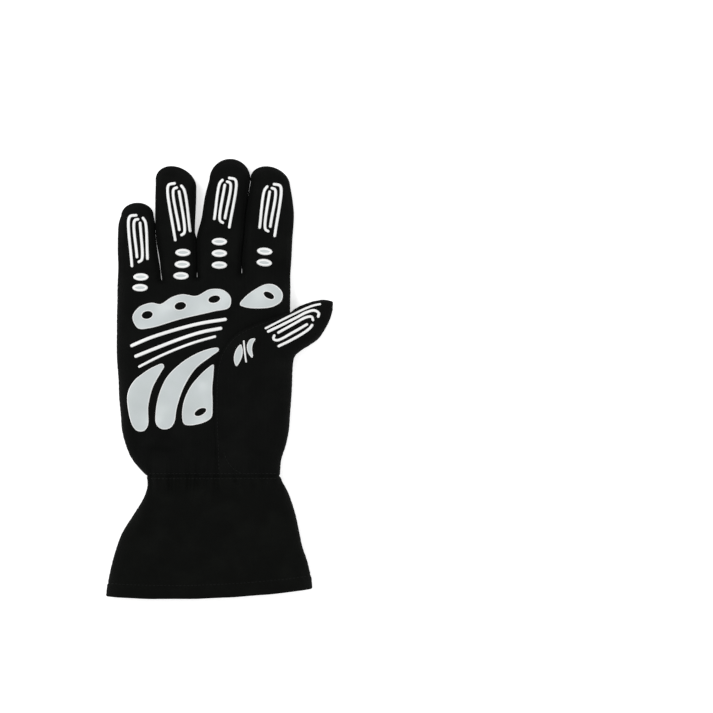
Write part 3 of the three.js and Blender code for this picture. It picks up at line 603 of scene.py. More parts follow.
pull = pulled_in(flat, edge)
pulls = np.concatenate([pull + thumb_seam_pull(flat), pull])
normals = vertex_normals(skin)
skin = skin - normals * pulls[:, None]
skin[:, 2] = np.maximum(skin[:, 2], 0)

# Fingers that touch lie flat against each other, this far apart
TOUCH_GAP = 0.04
TOUCH_LEVELS = 80


def press_fingers(left, right):
    """Keep each of two fingers on its own side of the line half-way between their edges."""
    left_grid, right_grid = finger_grids[left], finger_grids[right]
    left_edge, right_edge = left_grid[:, -1], right_grid[:, 0]
    levels = np.linspace(left_edge[0, 1], min(left_edge[-1, 1], right_edge[-1, 1]), TOUCH_LEVELS)
    middle = (np.interp(levels, left_edge[:, 1], left_edge[:, 0])
              + np.interp(levels, right_edge[:, 1], right_edge[:, 0])) / 2
    for grid, side, nearer in ((left_grid, -1, np.minimum), (right_grid, 1, np.maximum)):
        own = np.unique(grid_numbers(grid))
        own = np.union1d(own, back_of[own])
        limit = np.interp(skin[own, 1], levels, middle) + side * TOUCH_GAP / 2
        skin[own, 0] = nearer(skin[own, 0], limit)


for left, right in (("little", "ring"), ("ring", "middle"), ("middle", "index")):
    press_fingers(left, right)
normals = vertex_normals(skin)

above_edge = np.tile(lower_edge_distance(flat), 2)
hem_share = 1 - smooth(HEM_DEPTH - HEM_WALL_BLEND, HEM_DEPTH + HEM_WALL_BLEND, above_edge)
wall = lerp(WALL, HEM_WALL, hem_share * (skin[:, 1] < HEM_Y))
lining = skin - normals * wall[:, None]
lining[:, 2] = np.maximum(lining[:, 2], LINING_LIFT)
# The wrist seam slants through the cloth, so that no light passes it
SEAM_SLANT = 0.6
wrist_numbers = grid_numbers(cuff[:1])[0]
lining[np.union1d(wrist_numbers, back_of[wrist_numbers]), 1] += SEAM_SLANT

# Places on the cloth itself, laid flat, for its knit
away = line_offset(flat, outline_lines)
away_length = np.maximum(np.linalg.norm(away, axis=1), 1e-9)
radius = full_height(flat) / 2
angle = np.arccos(1 - np.clip(edge / radius, 0, 1))
spread = radius * (math.pi / 2 - angle - np.cos(angle))
cloth_place = np.tile(flat - away / away_length[:, None] * np.where(on_outline, 0, spread)[:, None], (2, 1))
CLOTH_UNIT = 100.0


def open_edges(faces):
    """Edges of one face only: start and end in that face's own direction, and its number."""
    starts = faces.ravel().astype(np.int64)
    ends = np.roll(faces, -1, axis=1).ravel().astype(np.int64)
    forward = starts * len(skin) + ends
    backward = ends * len(skin) + starts
    alone = ~np.isin(forward, backward)
    return starts[alone], ends[alone], np.repeat(np.arange(len(faces)), faces.shape[1])[alone]


def new_piece(name, vertices, faces, places=None):
    mesh = bpy.data.meshes.new(name)
    mesh.from_pydata((np.asarray(vertices) * MM).tolist(), [], faces)
    if places is not None:
        layer = mesh.uv_layers.new(name="cloth")
        corner_vertices = np.empty(len(mesh.loops), int)
        mesh.loops.foreach_get("vertex_index", corner_vertices)
        layer.data.foreach_set("uv", (np.asarray(places)[corner_vertices] / CLOTH_UNIT).ravel())
    mesh.validate()
    mesh.shade_smooth()
    mesh.set_sharp_from_angle(angle=math.radians(52))
    piece = bpy.data.objects.new(name, mesh)
    bpy.context.scene.collection.objects.link(piece)
    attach(piece, "root")
    return piece


mouth_skin = np.concatenate([mouth_numbers, back_of[mouth_numbers]])
MOUTH_ROUNDS = 5


def cloth_panel(panel, name):
    """One panel of cloth: skin outside, lining inside, and a wall along each cut edge."""
    faces = quads[panel_of == PANELS.index(panel)]
    starts, ends, face_numbers = open_edges(faces)
    at_mouth = np.isin(starts, mouth_skin) & np.isin(ends, mouth_skin)
    corners = skin[faces]
    face_normals = np.cross(corners[:, 2] - corners[:, 0], corners[:, 3] - corners[:, 1])
    inward = np.cross(face_normals[face_numbers], skin[ends] - skin[starts])
    inward /= np.maximum(np.linalg.norm(inward, axis=1), TINY)[:, None]
    shift = np.zeros_like(skin)
    np.add.at(shift, starts[~at_mouth], inward[~at_mouth])
    np.add.at(shift, ends[~at_mouth], inward[~at_mouth])
    length = np.linalg.norm(shift, axis=1)
    shift *= (PANEL_GAP / 2 / np.maximum(length, TINY))[:, None]
    shift[:, 2] = np.maximum(shift[:, 2], 0)

    used, flat_ids = np.unique(faces, return_inverse=True)
    flat_ids = flat_ids.reshape(faces.shape)
    place_in = {number: i for i, number in enumerate(used)}
    outer = skin[used] + shift[used]
    inner = lining[used] + shift[used]
    vertices = [outer, inner]
    places = [cloth_place[used], cloth_place[used]]
    total = 2 * len(used)
    all_faces = flat_ids.tolist() + (flat_ids[:, ::-1] + len(used)).tolist()
    for start, end in zip(starts[~at_mouth], ends[~at_mouth]):
        a, b = place_in[start], place_in[end]
        all_faces.append([b, a, a + len(used), b + len(used)])

    # The lower edge of the cuff is folded over, round
    round_places = {}
    turns = np.linspace(0, math.pi, MOUTH_ROUNDS + 1)[1:-1]
    for number in np.union1d(starts[at_mouth], ends[at_mouth]):
        i = place_in[number]
        centre, half = (outer[i] + inner[i]) / 2, (outer[i] - inner[i]) / 2
        down = np.array([0.0, -1.0, 0.0]) * np.linalg.norm(half)
        ring = [centre + half * math.cos(turn) + down * math.sin(turn) for turn in turns]
        round_places[number] = [i] + list(range(total, total + len(ring))) + [i + len(used)]
        vertices.append(np.array(ring))
        places.append(cloth_place[number] - np.outer(np.sin(turns) * HEM_WALL / 2, [0, 1]))
        total += len(ring)
    for start, end in zip(starts[at_mouth], ends[at_mouth]):
        for step in range(MOUTH_ROUNDS):
            a, b = round_places[start], round_places[end]
            all_faces.append([b[step], a[step], a[step + 1], b[step + 1]])

    piece = new_piece(f"{name}_cloth", np.concatenate(vertices), all_faces, np.concatenate(places))
    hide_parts(name)
    return piece


# Grips: outlines in the plane, drawn as smooth curves through a few points
FINE = 24
GRIP_PITCH = 0.62
CAP_STEPS = 8
# Points round an oval: at least so many, and so many pitches for its length
OVAL_LEAST = 16
OVAL_ROUND = 2.4
# Rows of points in from a grip's edge, and the grid of points further in
GRIP_INSETS = [0.1, 0.25, 0.42, 0.6, 0.8, 1.1, 1.5]
INSET_LEAST = 0.97
FILL_PITCH = 1.5
FILL_MARGIN = 0.6
# Rounding of the edge, and the fuller rim of pads and ovals
ROUNDING = 0.55
PAD_RIM = 0.65
OVAL_RIM = 1.6
RIM_HEIGHT = 0.25
PAD_SHARE = 0.82
GRIP_SINK = 0.15


def smooth_line(points, closed):
    """A centripetal curve through a few points."""
    points = [np.array(point, float) for point in points]
    if closed:
        ends = [points[-1]] + points + points[:2]
    else:
        ends = [2 * points[0] - points[1]] + points + [2 * points[-1] - points[-2]]
    line = []
    for i in range(len(ends) - 3):
        before, start, end, after = ends[i:i + 4]
        chords = ((before, start), (start, end), (end, after))
        knots = np.concatenate([[0], np.cumsum([np.linalg.norm(b - a) ** 0.5 for a, b in chords])])
        for t in np.linspace(knots[1], knots[2], FINE, endpoint=False):
            a1 = before + (start - before) * (t - knots[0]) / (knots[1] - knots[0])
            a2 = start + (end - start) * (t - knots[1]) / (knots[2] - knots[1])
            a3 = end + (after - end) * (t - knots[2]) / (knots[3] - knots[2])
            b1 = a1 + (a2 - a1) * (t - knots[0]) / (knots[2] - knots[0])
            b2 = a2 + (a3 - a2) * (t - knots[1]) / (knots[3] - knots[1])
            line.append(b1 + (b2 - b1) * (t - knots[1]) / (knots[2] - knots[1]))
    if not closed:
        line.append(points[-1])
    return np.array(line)


def evenly(line, pitch, closed):
    """The same line with points about so far apart."""
    if closed:
        line = np.concatenate([line, line[:1]])
    along = way_along(line)
    steps = max(3, round(along[-1] / pitch))
    wanted = np.linspace(0, along[-1], steps + 1)
    even_line = np.column_stack([np.interp(wanted, along, line[:, axis]) for axis in (0, 1)])
    return even_line[:-1] if closed else even_line


def stroke_outline(route, width):
    """Outline of a bar along a route, with round ends."""
    line = evenly(smooth_line(route, False), GRIP_PITCH, False)
    across = sideways(line) * width / 2

    def cap(centre, start):
        angles = math.atan2(start[1], start[0]) - np.linspace(0, math.pi, CAP_STEPS)[1:-1]
        return centre + np.column_stack([np.cos(angles), np.sin(angles)]) * width / 2

    left, right = line + across, line - across
    return np.concatenate([left, cap(line[-1], across[-1]), right[::-1], cap(line[0], -across[0])])


def oval_outline(centre, length, width, degrees):
    count = max(OVAL_LEAST, round(length / GRIP_PITCH * OVAL_ROUND))
    angles = np.linspace(0, 2 * math.pi, count, endpoint=False)
    points = np.column_stack([np.cos(angles) * length / 2, np.sin(angles) * width / 2])
    cosine, sine = math.cos(math.radians(degrees)), math.sin(math.radians(degrees))
    return points @ np.array([[cosine, sine], [-sine, cosine]]) + centre


def pad_outline(outline):
    return evenly(smooth_line(outline, True), GRIP_PITCH, True)


def inside(points, loop):
    """Which points lie inside a closed loop."""
    following = np.roll(loop, -1, axis=0)
    x, y = points[:, :1], points[:, 1:]
    crosses = (loop[:, 1] > y) != (following[:, 1] > y)
    rise = np.where(following[:, 1] == loop[:, 1], TINY, following[:, 1] - loop[:, 1])
    at_x = loop[:, 0] + (y - loop[:, 1]) * (following[:, 0] - loop[:, 0]) / rise
    return (crosses & (x < at_x)).sum(axis=1) % 2 == 1


def grip_mesh(loops, closed):
    """Points and triangles that fill the first loop, apart from its holes."""

    def in_grip(points):
        found = inside(points, loops[0])
        for hole in loops[1:]:
            found &= ~inside(points, hole)
        return found

    candidates = []
    for loop in loops:
        ahead = np.roll(loop, -1, axis=0) - np.roll(loop, 1, axis=0)
        side = np.column_stack([-ahead[:, 1], ahead[:, 0]]) / np.linalg.norm(ahead, axis=1)[:, None]
        for inset in GRIP_INSETS:
            for sign in (-1, 1):
                shifted = loop + side * inset * sign
                distance = line_distance(shifted, closed)
                candidates.append(shifted[in_grip(shifted) & (distance > inset * INSET_LEAST)])
    low, high = loops[0].min(axis=0), loops[0].max(axis=0)
    columns, rows = (np.arange(low[axis], high[axis], FILL_PITCH) for axis in (0, 1))
    grid = np.stack(np.meshgrid(columns, rows), axis=-1).reshape(-1, 2)
    distance = line_distance(grid, closed)
    candidates.append(grid[in_grip(grid) & (distance > GRIP_INSETS[-1] + FILL_MARGIN)])
    points = np.concatenate(loops + candidates)
    edges = []
    first = 0
    for loop in loops:
        edges += [(first + i, first + (i + 1) % len(loop)) for i in range(len(loop))]
        first += len(loop)
    found = delaunay_2d_cdt([Vector(point) for point in points], edges, [], 1, 1e-5)
    points = np.array([tuple(point) for point in found[0]])
    triangles = np.array(found[2])
    centres = points[triangles].mean(axis=1)
    triangles = triangles[in_grip(centres)]
    used, ids = np.unique(triangles, return_inverse=True)
    return points[used], ids.reshape(-1, 3)


def grip_piece(name, loops, rim=0.0):
    """A raised grip, rounded at its edges. A pad or an oval has a fuller rim, painted paler as a highlight along
    its raised edge.
    """
    closed = [np.concatenate([loop, loop[:1]]) for loop in loops]
    points, triangles = grip_mesh(loops, closed)
    distance = line_distance(points, closed)
    rise = GRIP_THICKNESS * (PAD_SHARE if rim else 1.0) * quarter_round(distance, ROUNDING)
    if rim:
        rise = rise + RIM_HEIGHT * bump(distance - rim / 2, rim / 3)
    ground = palm_side(points)[0]
    top = np.column_stack([points, ground + GRIP_LIFT + rise])
    base = np.column_stack([points, ground + GRIP_LIFT - GRIP_SINK])
    n = len(points)
    starts, ends, _ = open_edges(triangles)
    faces = triangles.tolist() + (triangles[:, ::-1] + n).tolist()
    faces += np.column_stack([ends, starts, starts + n, ends + n]).tolist()
    piece = new_piece(name + "_silicone", np.concatenate([top, base]), faces, np.tile(points, (2, 1)))
    piece.data.materials.append(silicone if rim else white_silicone_and_rim_highlight)
    if rim:
        piece.data.materials.append(white_silicone_and_rim_highlight)
        # Faces near the edge take the white silicone: a painted highlight along the raised rim
        near = line_distance(points[triangles].mean(axis=1), closed) < rim
        indices = np.zeros(len(piece.data.polygons), int)
        indices[:len(triangles)] = near
        indices[2 * len(triangles):] = 1
        piece.data.polygons.foreach_set("material_index", indices)
    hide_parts(name)


# Where each finger's strokes start, how far they lean, how long they are,
# which way they face, and the centres and turn of its ovals
FINGER_GRIPS = {
    "little": {"top": (-54.4, 108.2), "lean": 0.07, "length": 33.3, "facing": 1,
               "ovals": [(-52.1, 67.3), (-52.5, 60.2)], "turn": 0},
    "ring": {"top": (-29.1, 129.3), "lean": 0.15, "length": 37.2, "facing": 1,
             "ovals": [(-24.4, 83.4), (-24.8, 75.6), (-25.6, 68.0)], "turn": 0},
    "middle": {"top": (5.5, 132.8), "lean": -0.16, "length": 32.2, "facing": -1,
               "ovals": [(-0.3, 90.6), (-0.3, 82.9), (-0.3, 75.1)], "turn": 0},
    "index": {"top": (35.0, 128.7), "lean": -0.14, "length": 33.8, "facing": -1,
              "ovals": [(29.6, 84.2), (29.3, 76.7)], "turn": -5},
}
FULL_LENGTH = 38.0
FINGER_STROKES = [
    [(-0.8, 0.2), (-4.6, 0.6), (-5.9, 3.4), (-5.9, 38)],
    [(0.2, 3.3), (-2.0, 4.1), (-2.2, 31.6)],
    [(1.4, 6.2), (1.4, 31.4), (0.6, 34.3), (-1.2, 35.3)],
    [(3.5, 2.6), (4.9, 5.6), (4.7, 33.4)],
]
OVAL = (10.2, 4.95)
THUMB_STROKES = [
    ([(30.3, 33.4), (39.1, 38.0), (48.6, 42.8), (56.1, 46.4), (61.8, 48.5), (66.0, 49.4)], 1.5),
    ([(32.0, 31.3), (40.1, 35.2), (50.4, 40.5), (57.2, 44.0), (62.4, 45.2), (65.2, 43.4),
      (64.8, 41.2)], 1.85),
    ([(38.7, 30.6), (48.6, 36.2), (57.0, 40.7), (60.6, 41.0), (61.4, 38.9)], 1.8),
    ([(36.0, 28.6), (35.4, 26.6), (37.6, 25.5), (48.6, 30.9), (57.4, 36.0)], 1.8),
    ([(38.9, 21.7), (46.7, 25.5), (55.2, 30.4), (59.2, 33.4), (60.9, 35.6)], 1.8),
]
PADS = {
    "grip_thumb_lens_outer": {
        "outline": [(13.9, 22.9), (15.1, 19.8), (15.1, 16.0), (13.5, 11.6), (11.0, 8.3), (9.7, 10.6),
                    (9.4, 15.2), (11.1, 19.9)],
        "holes": []},
    "grip_thumb_lens_inner": {
        "outline": [(23.6, 26.6), (20.4, 26.4), (18.3, 23.6), (17.9, 20.4), (18.9, 16.8), (21.3, 13.9),
                    (22.0, 15.2), (21.4, 19.0), (21.9, 23.0)],
        "holes": []},
    "grip_teardrop": {
        "outline": [(13.2, 49.0), (17.4, 47.1), (27.5, 46.5), (35.6, 47.8), (40.8, 51.6), (41.2, 57.0),
                    (36.6, 61.9), (30.8, 62.6), (22.6, 58.8), (15.6, 53.0)],
        "holes": [((32.4, 55.1), 7.4, 3.9, -28)]},
    "grip_knuckle_bar": {
        "outline": [(-57.5, 40.6), (-53.4, 47.2), (-45.0, 50.3), (-39.0, 49.5), (-31.6, 54.0), (-24.6, 55.9),
                    (-15.4, 54.9), (-6.8, 59.1), (2.0, 58.8), (7.2, 54.0), (6.4, 47.2), (-4.0, 44.4),
                    (-25.6, 39.4), (-46.0, 33.5), (-53.8, 33.4)],
        "holes": [((-47.7, 42.2), 7.2, 5.0, 12), ((-25.9, 48.1), 7.4, 5.0, 12),
                  ((-3.6, 52.6), 7.8, 4.6, 12)]},
    "grip_flame_outer": {
        "outline": [(-37.6, 10.1), (-43.4, 8.2), (-50.0, 4.2), (-56.6, -1.4), (-60.6, -9.5), (-60.4, -19.5),
                    (-57.6, -30.5), (-54.4, -34.2), (-49.8, -34.2), (-47.2, -30.5), (-47.0, -18.0),
                    (-44.0, -5.6), (-38.7, 4.2), (-36.5, 8.2)],
        "holes": []},
    "grip_flame_middle": {
        "outline": [(-1.0, 20.6), (-5.6, 20.3), (-14.2, 17.3), (-24.0, 11.6), (-34.2, 2.0), (-39.6, -8.8),
                    (-42.1, -20.5), (-41.8, -29.6), (-38.2, -32.9), (-33.0, -32.5), (-30.0, -29.0),
                    (-28.0, -18.5), (-23.3, -5.0), (-15.8, 6.8), (-5.4, 15.0), (-0.5, 19.0)],
        "holes": []},
    "grip_flame_inner": {
        "outline": [(-4.1, 9.6), (-8.0, 7.2), (-13.6, 2.0), (-19.4, -5.2), (-23.6, -14.8), (-24.8, -24.5),
                    (-23.6, -29.6), (-19.8, -30.6), (-9.8, -28.4), (-5.4, -25.2), (-4.6, -18.0), (-4.8, -6.0),
                    (-4.0, 4.0)],
        "holes": [((-12.7, -21.7), 8.2, 4.2, 27)]},
}
STROKES = {
    "grip_thumb_lens_middle": ([(15.9, 25.0), (16.5, 18.0), (17.4, 11.4)], 1.2),
    "grip_stripe_1": (
        [(-57.9, 22.0), (-45.6, 27.2), (-30.4, 32.1), (-13.0, 36.6), (3.7, 39.3)], STRIPE_WIDTH),
    "grip_stripe_2": (
        [(-55.2, 15.0), (-40.3, 21.0), (-25.7, 26.6), (-11.6, 31.0), (0.7, 33.4)], STRIPE_WIDTH),
    "grip_stripe_3": ([(-52.9, 8.2), (-40.3, 14.6), (-28.1, 19.9), (-16.0, 24.3), (-3.1, 28.0)], 1.75),
}


def finger_stroke(grips, stroke):
    down = np.array([grips["lean"], -1.0])
    down /= np.linalg.norm(down)
    across = np.array([-down[1], down[0]]) * grips["facing"]
    scale = grips["length"] / FULL_LENGTH
    return [np.array(grips["top"]) + across * a + down * d * scale for a, d in stroke]


# Stitches: each is a short rounded bead of thread lying on the cloth
STITCH_PITCH = 2.5
STITCH_LENGTH = 1.75
THREAD_RADIUS = 0.2
THREAD_SINK = 0.05
BEAD_SIDES = 6
BEAD_RINGS = [(-0.5, 0.3), (-0.36, 0.85), (0.0, 1.0), (0.36, 0.85), (0.5, 0.3)]
THUMB_STITCH_OFFSET = 1.6
# The short curved row above the wrist seam
WRIST_DART = [(2.5, -48.0), (5.0, -54.2), (9.2, -59.4), (14.2, -61.9)]


def pulled_palm_height(points):
    """Height of the finished palm side, seams and all."""
    height, edge_distance = palm_side(points)
    return height - pulled_in(points, edge_distance) - thumb_seam_pull(points)


def stitch_run(line):
    """Vertices and faces of the stitches along a line in the plane, which lie on the palm side."""
    line = evenly(np.asarray(line), STITCH_PITCH, False)
    up = np.array([0.0, 0.0, 1.0])
    vertices, faces = [], []
    for start, end in zip(line, line[1:]):
        middle, ahead = (start + end) / 2, (end - start) / np.linalg.norm(end - start)
        ends = np.array([middle - ahead * STITCH_LENGTH / 2, middle, middle + ahead * STITCH_LENGTH / 2])
        levels = pulled_palm_height(ends)
        tilt = (levels[2] - levels[0]) / STITCH_LENGTH
        ahead = np.array([ahead[0], ahead[1], tilt])
        side = np.array([-ahead[1], ahead[0], 0.0])
        centre = np.array([middle[0], middle[1], levels[1] + (THREAD_RADIUS - THREAD_SINK)])
        base = len(vertices)
        for along, size in BEAD_RINGS:
            for k in range(BEAD_SIDES):
                turn = 2 * math.pi * k / BEAD_SIDES
                vertices.append(centre + ahead * along * STITCH_LENGTH
                                + (side * math.cos(turn) + up * math.sin(turn)) * THREAD_RADIUS * size)
        rings = len(BEAD_RINGS)
        for ring in range(rings - 1):
            for k in range(BEAD_SIDES):
                a, b = base + ring * BEAD_SIDES + k, base + ring * BEAD_SIDES + (k + 1) % BEAD_SIDES
                faces.append([a, b, b + BEAD_SIDES, a + BEAD_SIDES])
        faces.append([base + k for k in reversed(range(BEAD_SIDES))])
        faces.append([base + (rings - 1) * BEAD_SIDES + k for k in range(BEAD_SIDES)])
    return vertices, faces


def stitches(name, slot, *lines):
    vertices, faces = [], []
    for line in lines:
        more_vertices, more_faces = stitch_run(line)
        faces += [[i + len(vertices) for i in face] for face in more_faces]
        vertices += more_vertices
    piece = new_piece(name, vertices, faces, np.array(vertices)[:, :2])
    piece.data.materials.append(thread)


# Materials
def new_material(name):
    material = bpy.data.materials.new(name)
    material.use_nodes = True
    tree = material.node_tree
    return material, tree, tree.nodes["Principled BSDF"]


def fill_inputs(tree, node, values):
    """Set each named input of a node to a value, or link it to a socket."""
    for name, value in values.items():
        if isinstance(value, bpy.types.NodeSocket):
            tree.links.new(value, node.inputs[name])
        else:
            node.inputs[name].default_value = value


def noise(tree, values):
    """Cloudy noise over a piece's own coordinates."""
    surface = tree.nodes.new("ShaderNodeTexCoord")
    node = tree.nodes.new("ShaderNodeTexNoise")
    fill_inputs(tree, node, {"Vector": surface.outputs["Object"], **values})
    return node.outputs["Fac"]


def colour_mix(tree, factor, low, high):
    node = tree.nodes.new("ShaderNodeMix")
    node.data_type = "RGBA"
    fill_inputs(tree, node, {"Factor": factor, "A": low, "B": high})
    return node.outputs["Result"]


def raise_surface(tree, shader, height, strength, distance):
    """Bump the shader's surface by a height, at most so many millimetres."""
    node = tree.nodes.new("ShaderNodeBump")
    fill_inputs(tree, node, {"Height": height, "Strength": strength, "Distance": distance * MM})
    tree.links.new(node.outputs["Normal"], shader.inputs["Normal"])


def knit_group():
    """Fine ribs of knit with a stitch zigzag, and soft patches of wear between."""
    group = bpy.data.node_groups.new("knit", "ShaderNodeTree")
    for socket, value in (("Rib Pitch", 1.0), ("Row Pitch", 1.0), ("Patch Scale", 60.0)):
        new = group.interface.new_socket(socket, in_out="INPUT", socket_type="NodeSocketFloat")
        new.default_value = value
    for socket in ("Yarn", "Patches", "Height"):
        group.interface.new_socket(socket, in_out="OUTPUT", socket_type="NodeSocketFloat")
    nodes, links = group.nodes, group.links
    inputs = nodes.new("NodeGroupInput")
    outputs = nodes.new("NodeGroupOutput")
    place = nodes.new("ShaderNodeUVMap")
    place.uv_map = "cloth"
    parts = nodes.new("ShaderNodeSeparateXYZ")
    links.new(place.outputs["UV"], parts.inputs[0])

    def maths(operation, a, b=None):
        node = nodes.new("ShaderNodeMath")
        node.operation = operation
        for socket, value in zip(node.inputs, (a, b)):
            if value is None:
                continue
            if isinstance(value, (int, float)):
                socket.default_value = value
            else:
                links.new(value, socket)
        return node.outputs[0]

    # One rib, from 0 at its left to 1 at its right, and the hump across it
    across = maths("DIVIDE", maths("MULTIPLY", parts.outputs["X"], CLOTH_UNIT), inputs.outputs["Rib Pitch"])
    in_rib = maths("FRACT", across)
    hump = maths("SINE", maths("MULTIPLY", in_rib, math.pi))
    # Legs of each knit stitch slant down from the middle of the rib
    slant = maths("MULTIPLY", maths("ABSOLUTE", maths("SUBTRACT", in_rib, 0.5)), 1.1)
    down = maths("DIVIDE", maths("MULTIPLY", parts.outputs["Y"], CLOTH_UNIT), inputs.outputs["Row Pitch"])
    leg = maths("SINE", maths("MULTIPLY", maths("ADD", down, slant), 2 * math.pi))
    leg = maths("ADD", maths("MULTIPLY", leg, 0.5), 0.5)
    yarn = maths("ADD", maths("MULTIPLY", hump, 0.6), maths("MULTIPLY", leg, 0.4))

    patches = noise(group, {"Scale": inputs.outputs["Patch Scale"], "Detail": 4.0, "Roughness": 0.6})
    fuzz = noise(group, {"Scale": 2600.0, "Detail": 2.0})
    height = maths("ADD", yarn, maths("MULTIPLY", fuzz, 0.5))
    fill_inputs(group, outputs, {"Yarn": yarn, "Patches": patches, "Height": height})
    return group


def cloth_material(name, groove_shade_colour, light, worn, pitches, roughness=0.82):
    """Black knit: darker between its ribs and paler on them, which is painted shade in the grooves and a painted
    highlight on the rib tops, and a little worn in patches.
    """
    material, tree, shader = new_material(name)
    weave = tree.nodes.new("ShaderNodeGroup")
    weave.node_tree = knit
    fill_inputs(tree, weave, {"Rib Pitch": pitches[0], "Row Pitch": pitches[1], "Patch Scale": 55.0})
    # Painted shade between the ribs and a painted highlight on their tops: the colour follows the height of the
    # yarn
    ribs = colour_mix(tree, weave.outputs["Yarn"], (*groove_shade_colour, 1), (*light, 1))
    wear = tree.nodes.new("ShaderNodeMapRange")
    fill_inputs(tree, wear, {"Value": weave.outputs["Patches"], "From Min": 0.45, "From Max": 0.8, "To Max": 0.55})
    colour = colour_mix(tree, wear.outputs["Result"], ribs, (*worn, 1))
    tree.links.new(colour, shader.inputs["Base Color"])
    raise_surface(tree, shader, weave.outputs["Height"], 0.5, 0.22)
    shader.inputs["Roughness"].default_value = roughness
    shader.inputs["Specular IOR Level"].default_value = 0.05
    shader.inputs["Sheen Weight"].default_value = 0.008
    shader.inputs["Sheen Roughness"].default_value = 0.4
    return material


def silicone_material(name, low, high, roughness):
    """Printed silicone: nearly even, a touch cloudy, with a soft skin."""
    material, tree, shader = new_material(name)
    cloud = noise(tree, {"Scale": 140.0, "Detail": 3.0})
    colour = colour_mix(tree, cloud, (*low, 1), (*high, 1))
    tree.links.new(colour, shader.inputs["Base Color"])
    grain = noise(tree, {"Scale": 1500.0, "Detail": 3.0})
    raise_surface(tree, shader, grain, 0.25, 0.08)
    shader.inputs["Roughness"].default_value = roughness
    shader.inputs["Specular IOR Level"].default_value = 0.4
    return material


knit = knit_group()
# Cloth: its colour between the ribs with painted shade, on the ribs with a painted highlight, and where worn, then
# the pitch of its ribs and rows
hand_cloth = cloth_material(
    "hand_knit", (0.0014, 0.0015, 0.0014), (0.0038, 0.0042, 0.0038), (0.0062, 0.0068, 0.006), (0.9, 0.75))
side_cloth = cloth_material(
    "fourchette_knit", (0.0013, 0.0014, 0.0013), (0.0034, 0.0037, 0.0034), (0.0054, 0.0058, 0.0053),
    (0.8, 0.7))
cuff_cloth = cloth_material(
    "cuff_cloth", (0.0014, 0.0016, 0.0013), (0.0036, 0.004, 0.0034), (0.0058, 0.0066, 0.0055), (0.7, 0.7))
thread = cloth_material(
    "thread", (0.006, 0.0062, 0.006), (0.014, 0.0145, 0.014), (0.018, 0.0185, 0.018), (0.35, 0.35), 0.6)
silicone = silicone_material("silicone_print", (0.485, 0.53, 0.52), (0.53, 0.565, 0.58), 0.42)
# White silicone of the strokes, also used as a painted highlight on the rims of pads and ovals
white_silicone_and_rim_highlight = silicone_material("silicone_white_and_rim_highlight", (0.8, 0.81, 0.8), (0.86, 0.86, 0.86), 0.45)

# Cloth panels, each standing for a part of the frame: panel, node, cloth, slot
CLOTH_PIECES = [
    ("palm", "palm_panel", hand_cloth, "hand_cloth"),
    ("back", "back_panel", hand_cloth, "hand_cloth"),
    ("thumb", "thumb_panel", hand_cloth, "hand_cloth"),
    ("thumb_back", "thumb_back", hand_cloth, "hand_cloth"),
    ("little_ring", "fourchette_little_ring", side_cloth, "fourchette_cloth"),
    ("ring_middle", "fourchette_ring_middle", side_cloth, "fourchette_cloth"),
    ("middle_index", "fourchette_middle_index", side_cloth, "fourchette_cloth"),
    ("cuff_palm", "cuff_palm_panel", cuff_cloth, "cuff_cloth"),
    ("cuff_back", "cuff_back_panel", cuff_cloth, "cuff_cloth"),
]
for panel, node, cloth, slot in CLOTH_PIECES:
    piece = cloth_panel(panel, node)
    piece.data.materials.append(cloth)

for name, pad in PADS.items():
    grip_piece(name, [pad_outline(pad["outline"])] + [oval_outline(*hole) for hole in pad["holes"]], PAD_RIM)
for name, (route, width) in STROKES.items():
    grip_piece(name, [stroke_outline(route, width)])
for finger, grips in FINGER_GRIPS.items():
    for i, stroke in enumerate(FINGER_STROKES):
        outline = stroke_outline(finger_stroke(grips, stroke), STROKE_WIDTH)
        grip_piece(f"grip_{finger}_stroke_{i + 1}", [outline])
    for i, centre in enumerate(grips["ovals"]):
        grip_piece(f"grip_{finger}_oval_{i + 1}", [oval_outline(centre, *OVAL, grips["turn"])], OVAL_RIM)
for i, (route, width) in enumerate(THUMB_STROKES):
    grip_piece(f"grip_thumb_stroke_{i + 1}", [stroke_outline(route, width)])

WRIST_ROWS = [
    [(-47.2, WRIST_Y + 1.7), (37.4, WRIST_Y + 1.7)],
    [(-46.2, WRIST_Y - 1.7), (37.6, WRIST_Y - 1.7)],
]
stitched_seam = thumb_seam[6:-3]
stitched_seam = stitched_seam + sideways(stitched_seam) * THUMB_STITCH_OFFSET
stitches("wrist_stitches", "hand_cloth", *WRIST_ROWS, smooth_line(WRIST_DART, False))
stitches("hem_stitches", "cuff_cloth", cuff[-1][3:-3] + [0, HEM_DEPTH])
stitches("thumb_seam_stitches", "hand_cloth", stitched_seam)

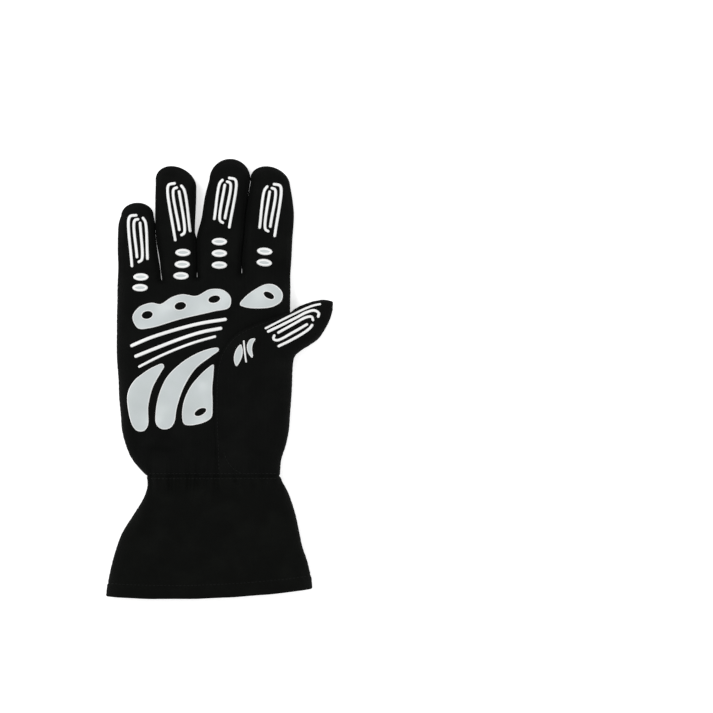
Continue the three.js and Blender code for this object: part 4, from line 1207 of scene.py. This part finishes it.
# Floor, light and camera
FLOOR_HALF = 3.0
FLOOR_DROP = 0.2
floor_corners = [(x * FLOOR_HALF, y * FLOOR_HALF, 0) for x, y in ((-1, -1), (1, -1), (1, 1), (-1, 1))]
stage_mesh = bpy.data.meshes.new("floor")
stage_mesh.from_pydata(floor_corners, [], [(0, 1, 2, 3)])
floor = bpy.data.objects.new("floor", stage_mesh)
bpy.context.scene.collection.objects.link(floor)
floor.location.z = -FLOOR_DROP * MM
floor_material, _, floor_shader = new_material("pale_floor")
floor_shader.inputs["Base Color"].default_value = (0.9, 0.9, 0.9, 1)
floor_shader.inputs["Roughness"].default_value = 0.9
floor_shader.inputs["Emission Color"].default_value = (1, 1, 1, 1)
floor_shader.inputs["Emission Strength"].default_value = 0.55
stage_mesh.materials.append(floor_material)

world = bpy.data.worlds.new("studio")
world.use_nodes = True
world.node_tree.nodes["Background"].inputs["Color"].default_value = (1, 1, 1, 1)
world.node_tree.nodes["Background"].inputs["Strength"].default_value = 0.62
bpy.context.scene.world = world
bpy.context.scene.view_settings.view_transform = "Standard"


def soft_light(name, place, aim, size, power):
    lamp = bpy.data.lights.new(name, "AREA")
    lamp.shape = "DISK"
    lamp.size = size
    lamp.energy = power
    light = bpy.data.objects.new(name, lamp)
    light.location = place
    light.rotation_euler = (Vector(aim) - Vector(place)).to_track_quat("-Z", "Y").to_euler()
    bpy.context.scene.collection.objects.link(light)


soft_light("main_light", (-0.9, 0.9, 1.5), (0, 0, 0), 0.9, 18)
soft_light("side_light", (1.2, -0.5, 1.1), (0, 0, 0), 0.8, 6)

VIEW_DISTANCE = 3.0
VIEW_WIDTH = 0.4706
camera_data = bpy.data.cameras.new("camera")
camera_data.sensor_width = 36.0
camera_data.lens = camera_data.sensor_width * VIEW_DISTANCE / VIEW_WIDTH
camera = bpy.data.objects.new("camera", camera_data)
camera.location = (0.0901, 0.01485, VIEW_DISTANCE + 0.01)
bpy.context.scene.collection.objects.link(camera)
bpy.context.scene.camera = camera
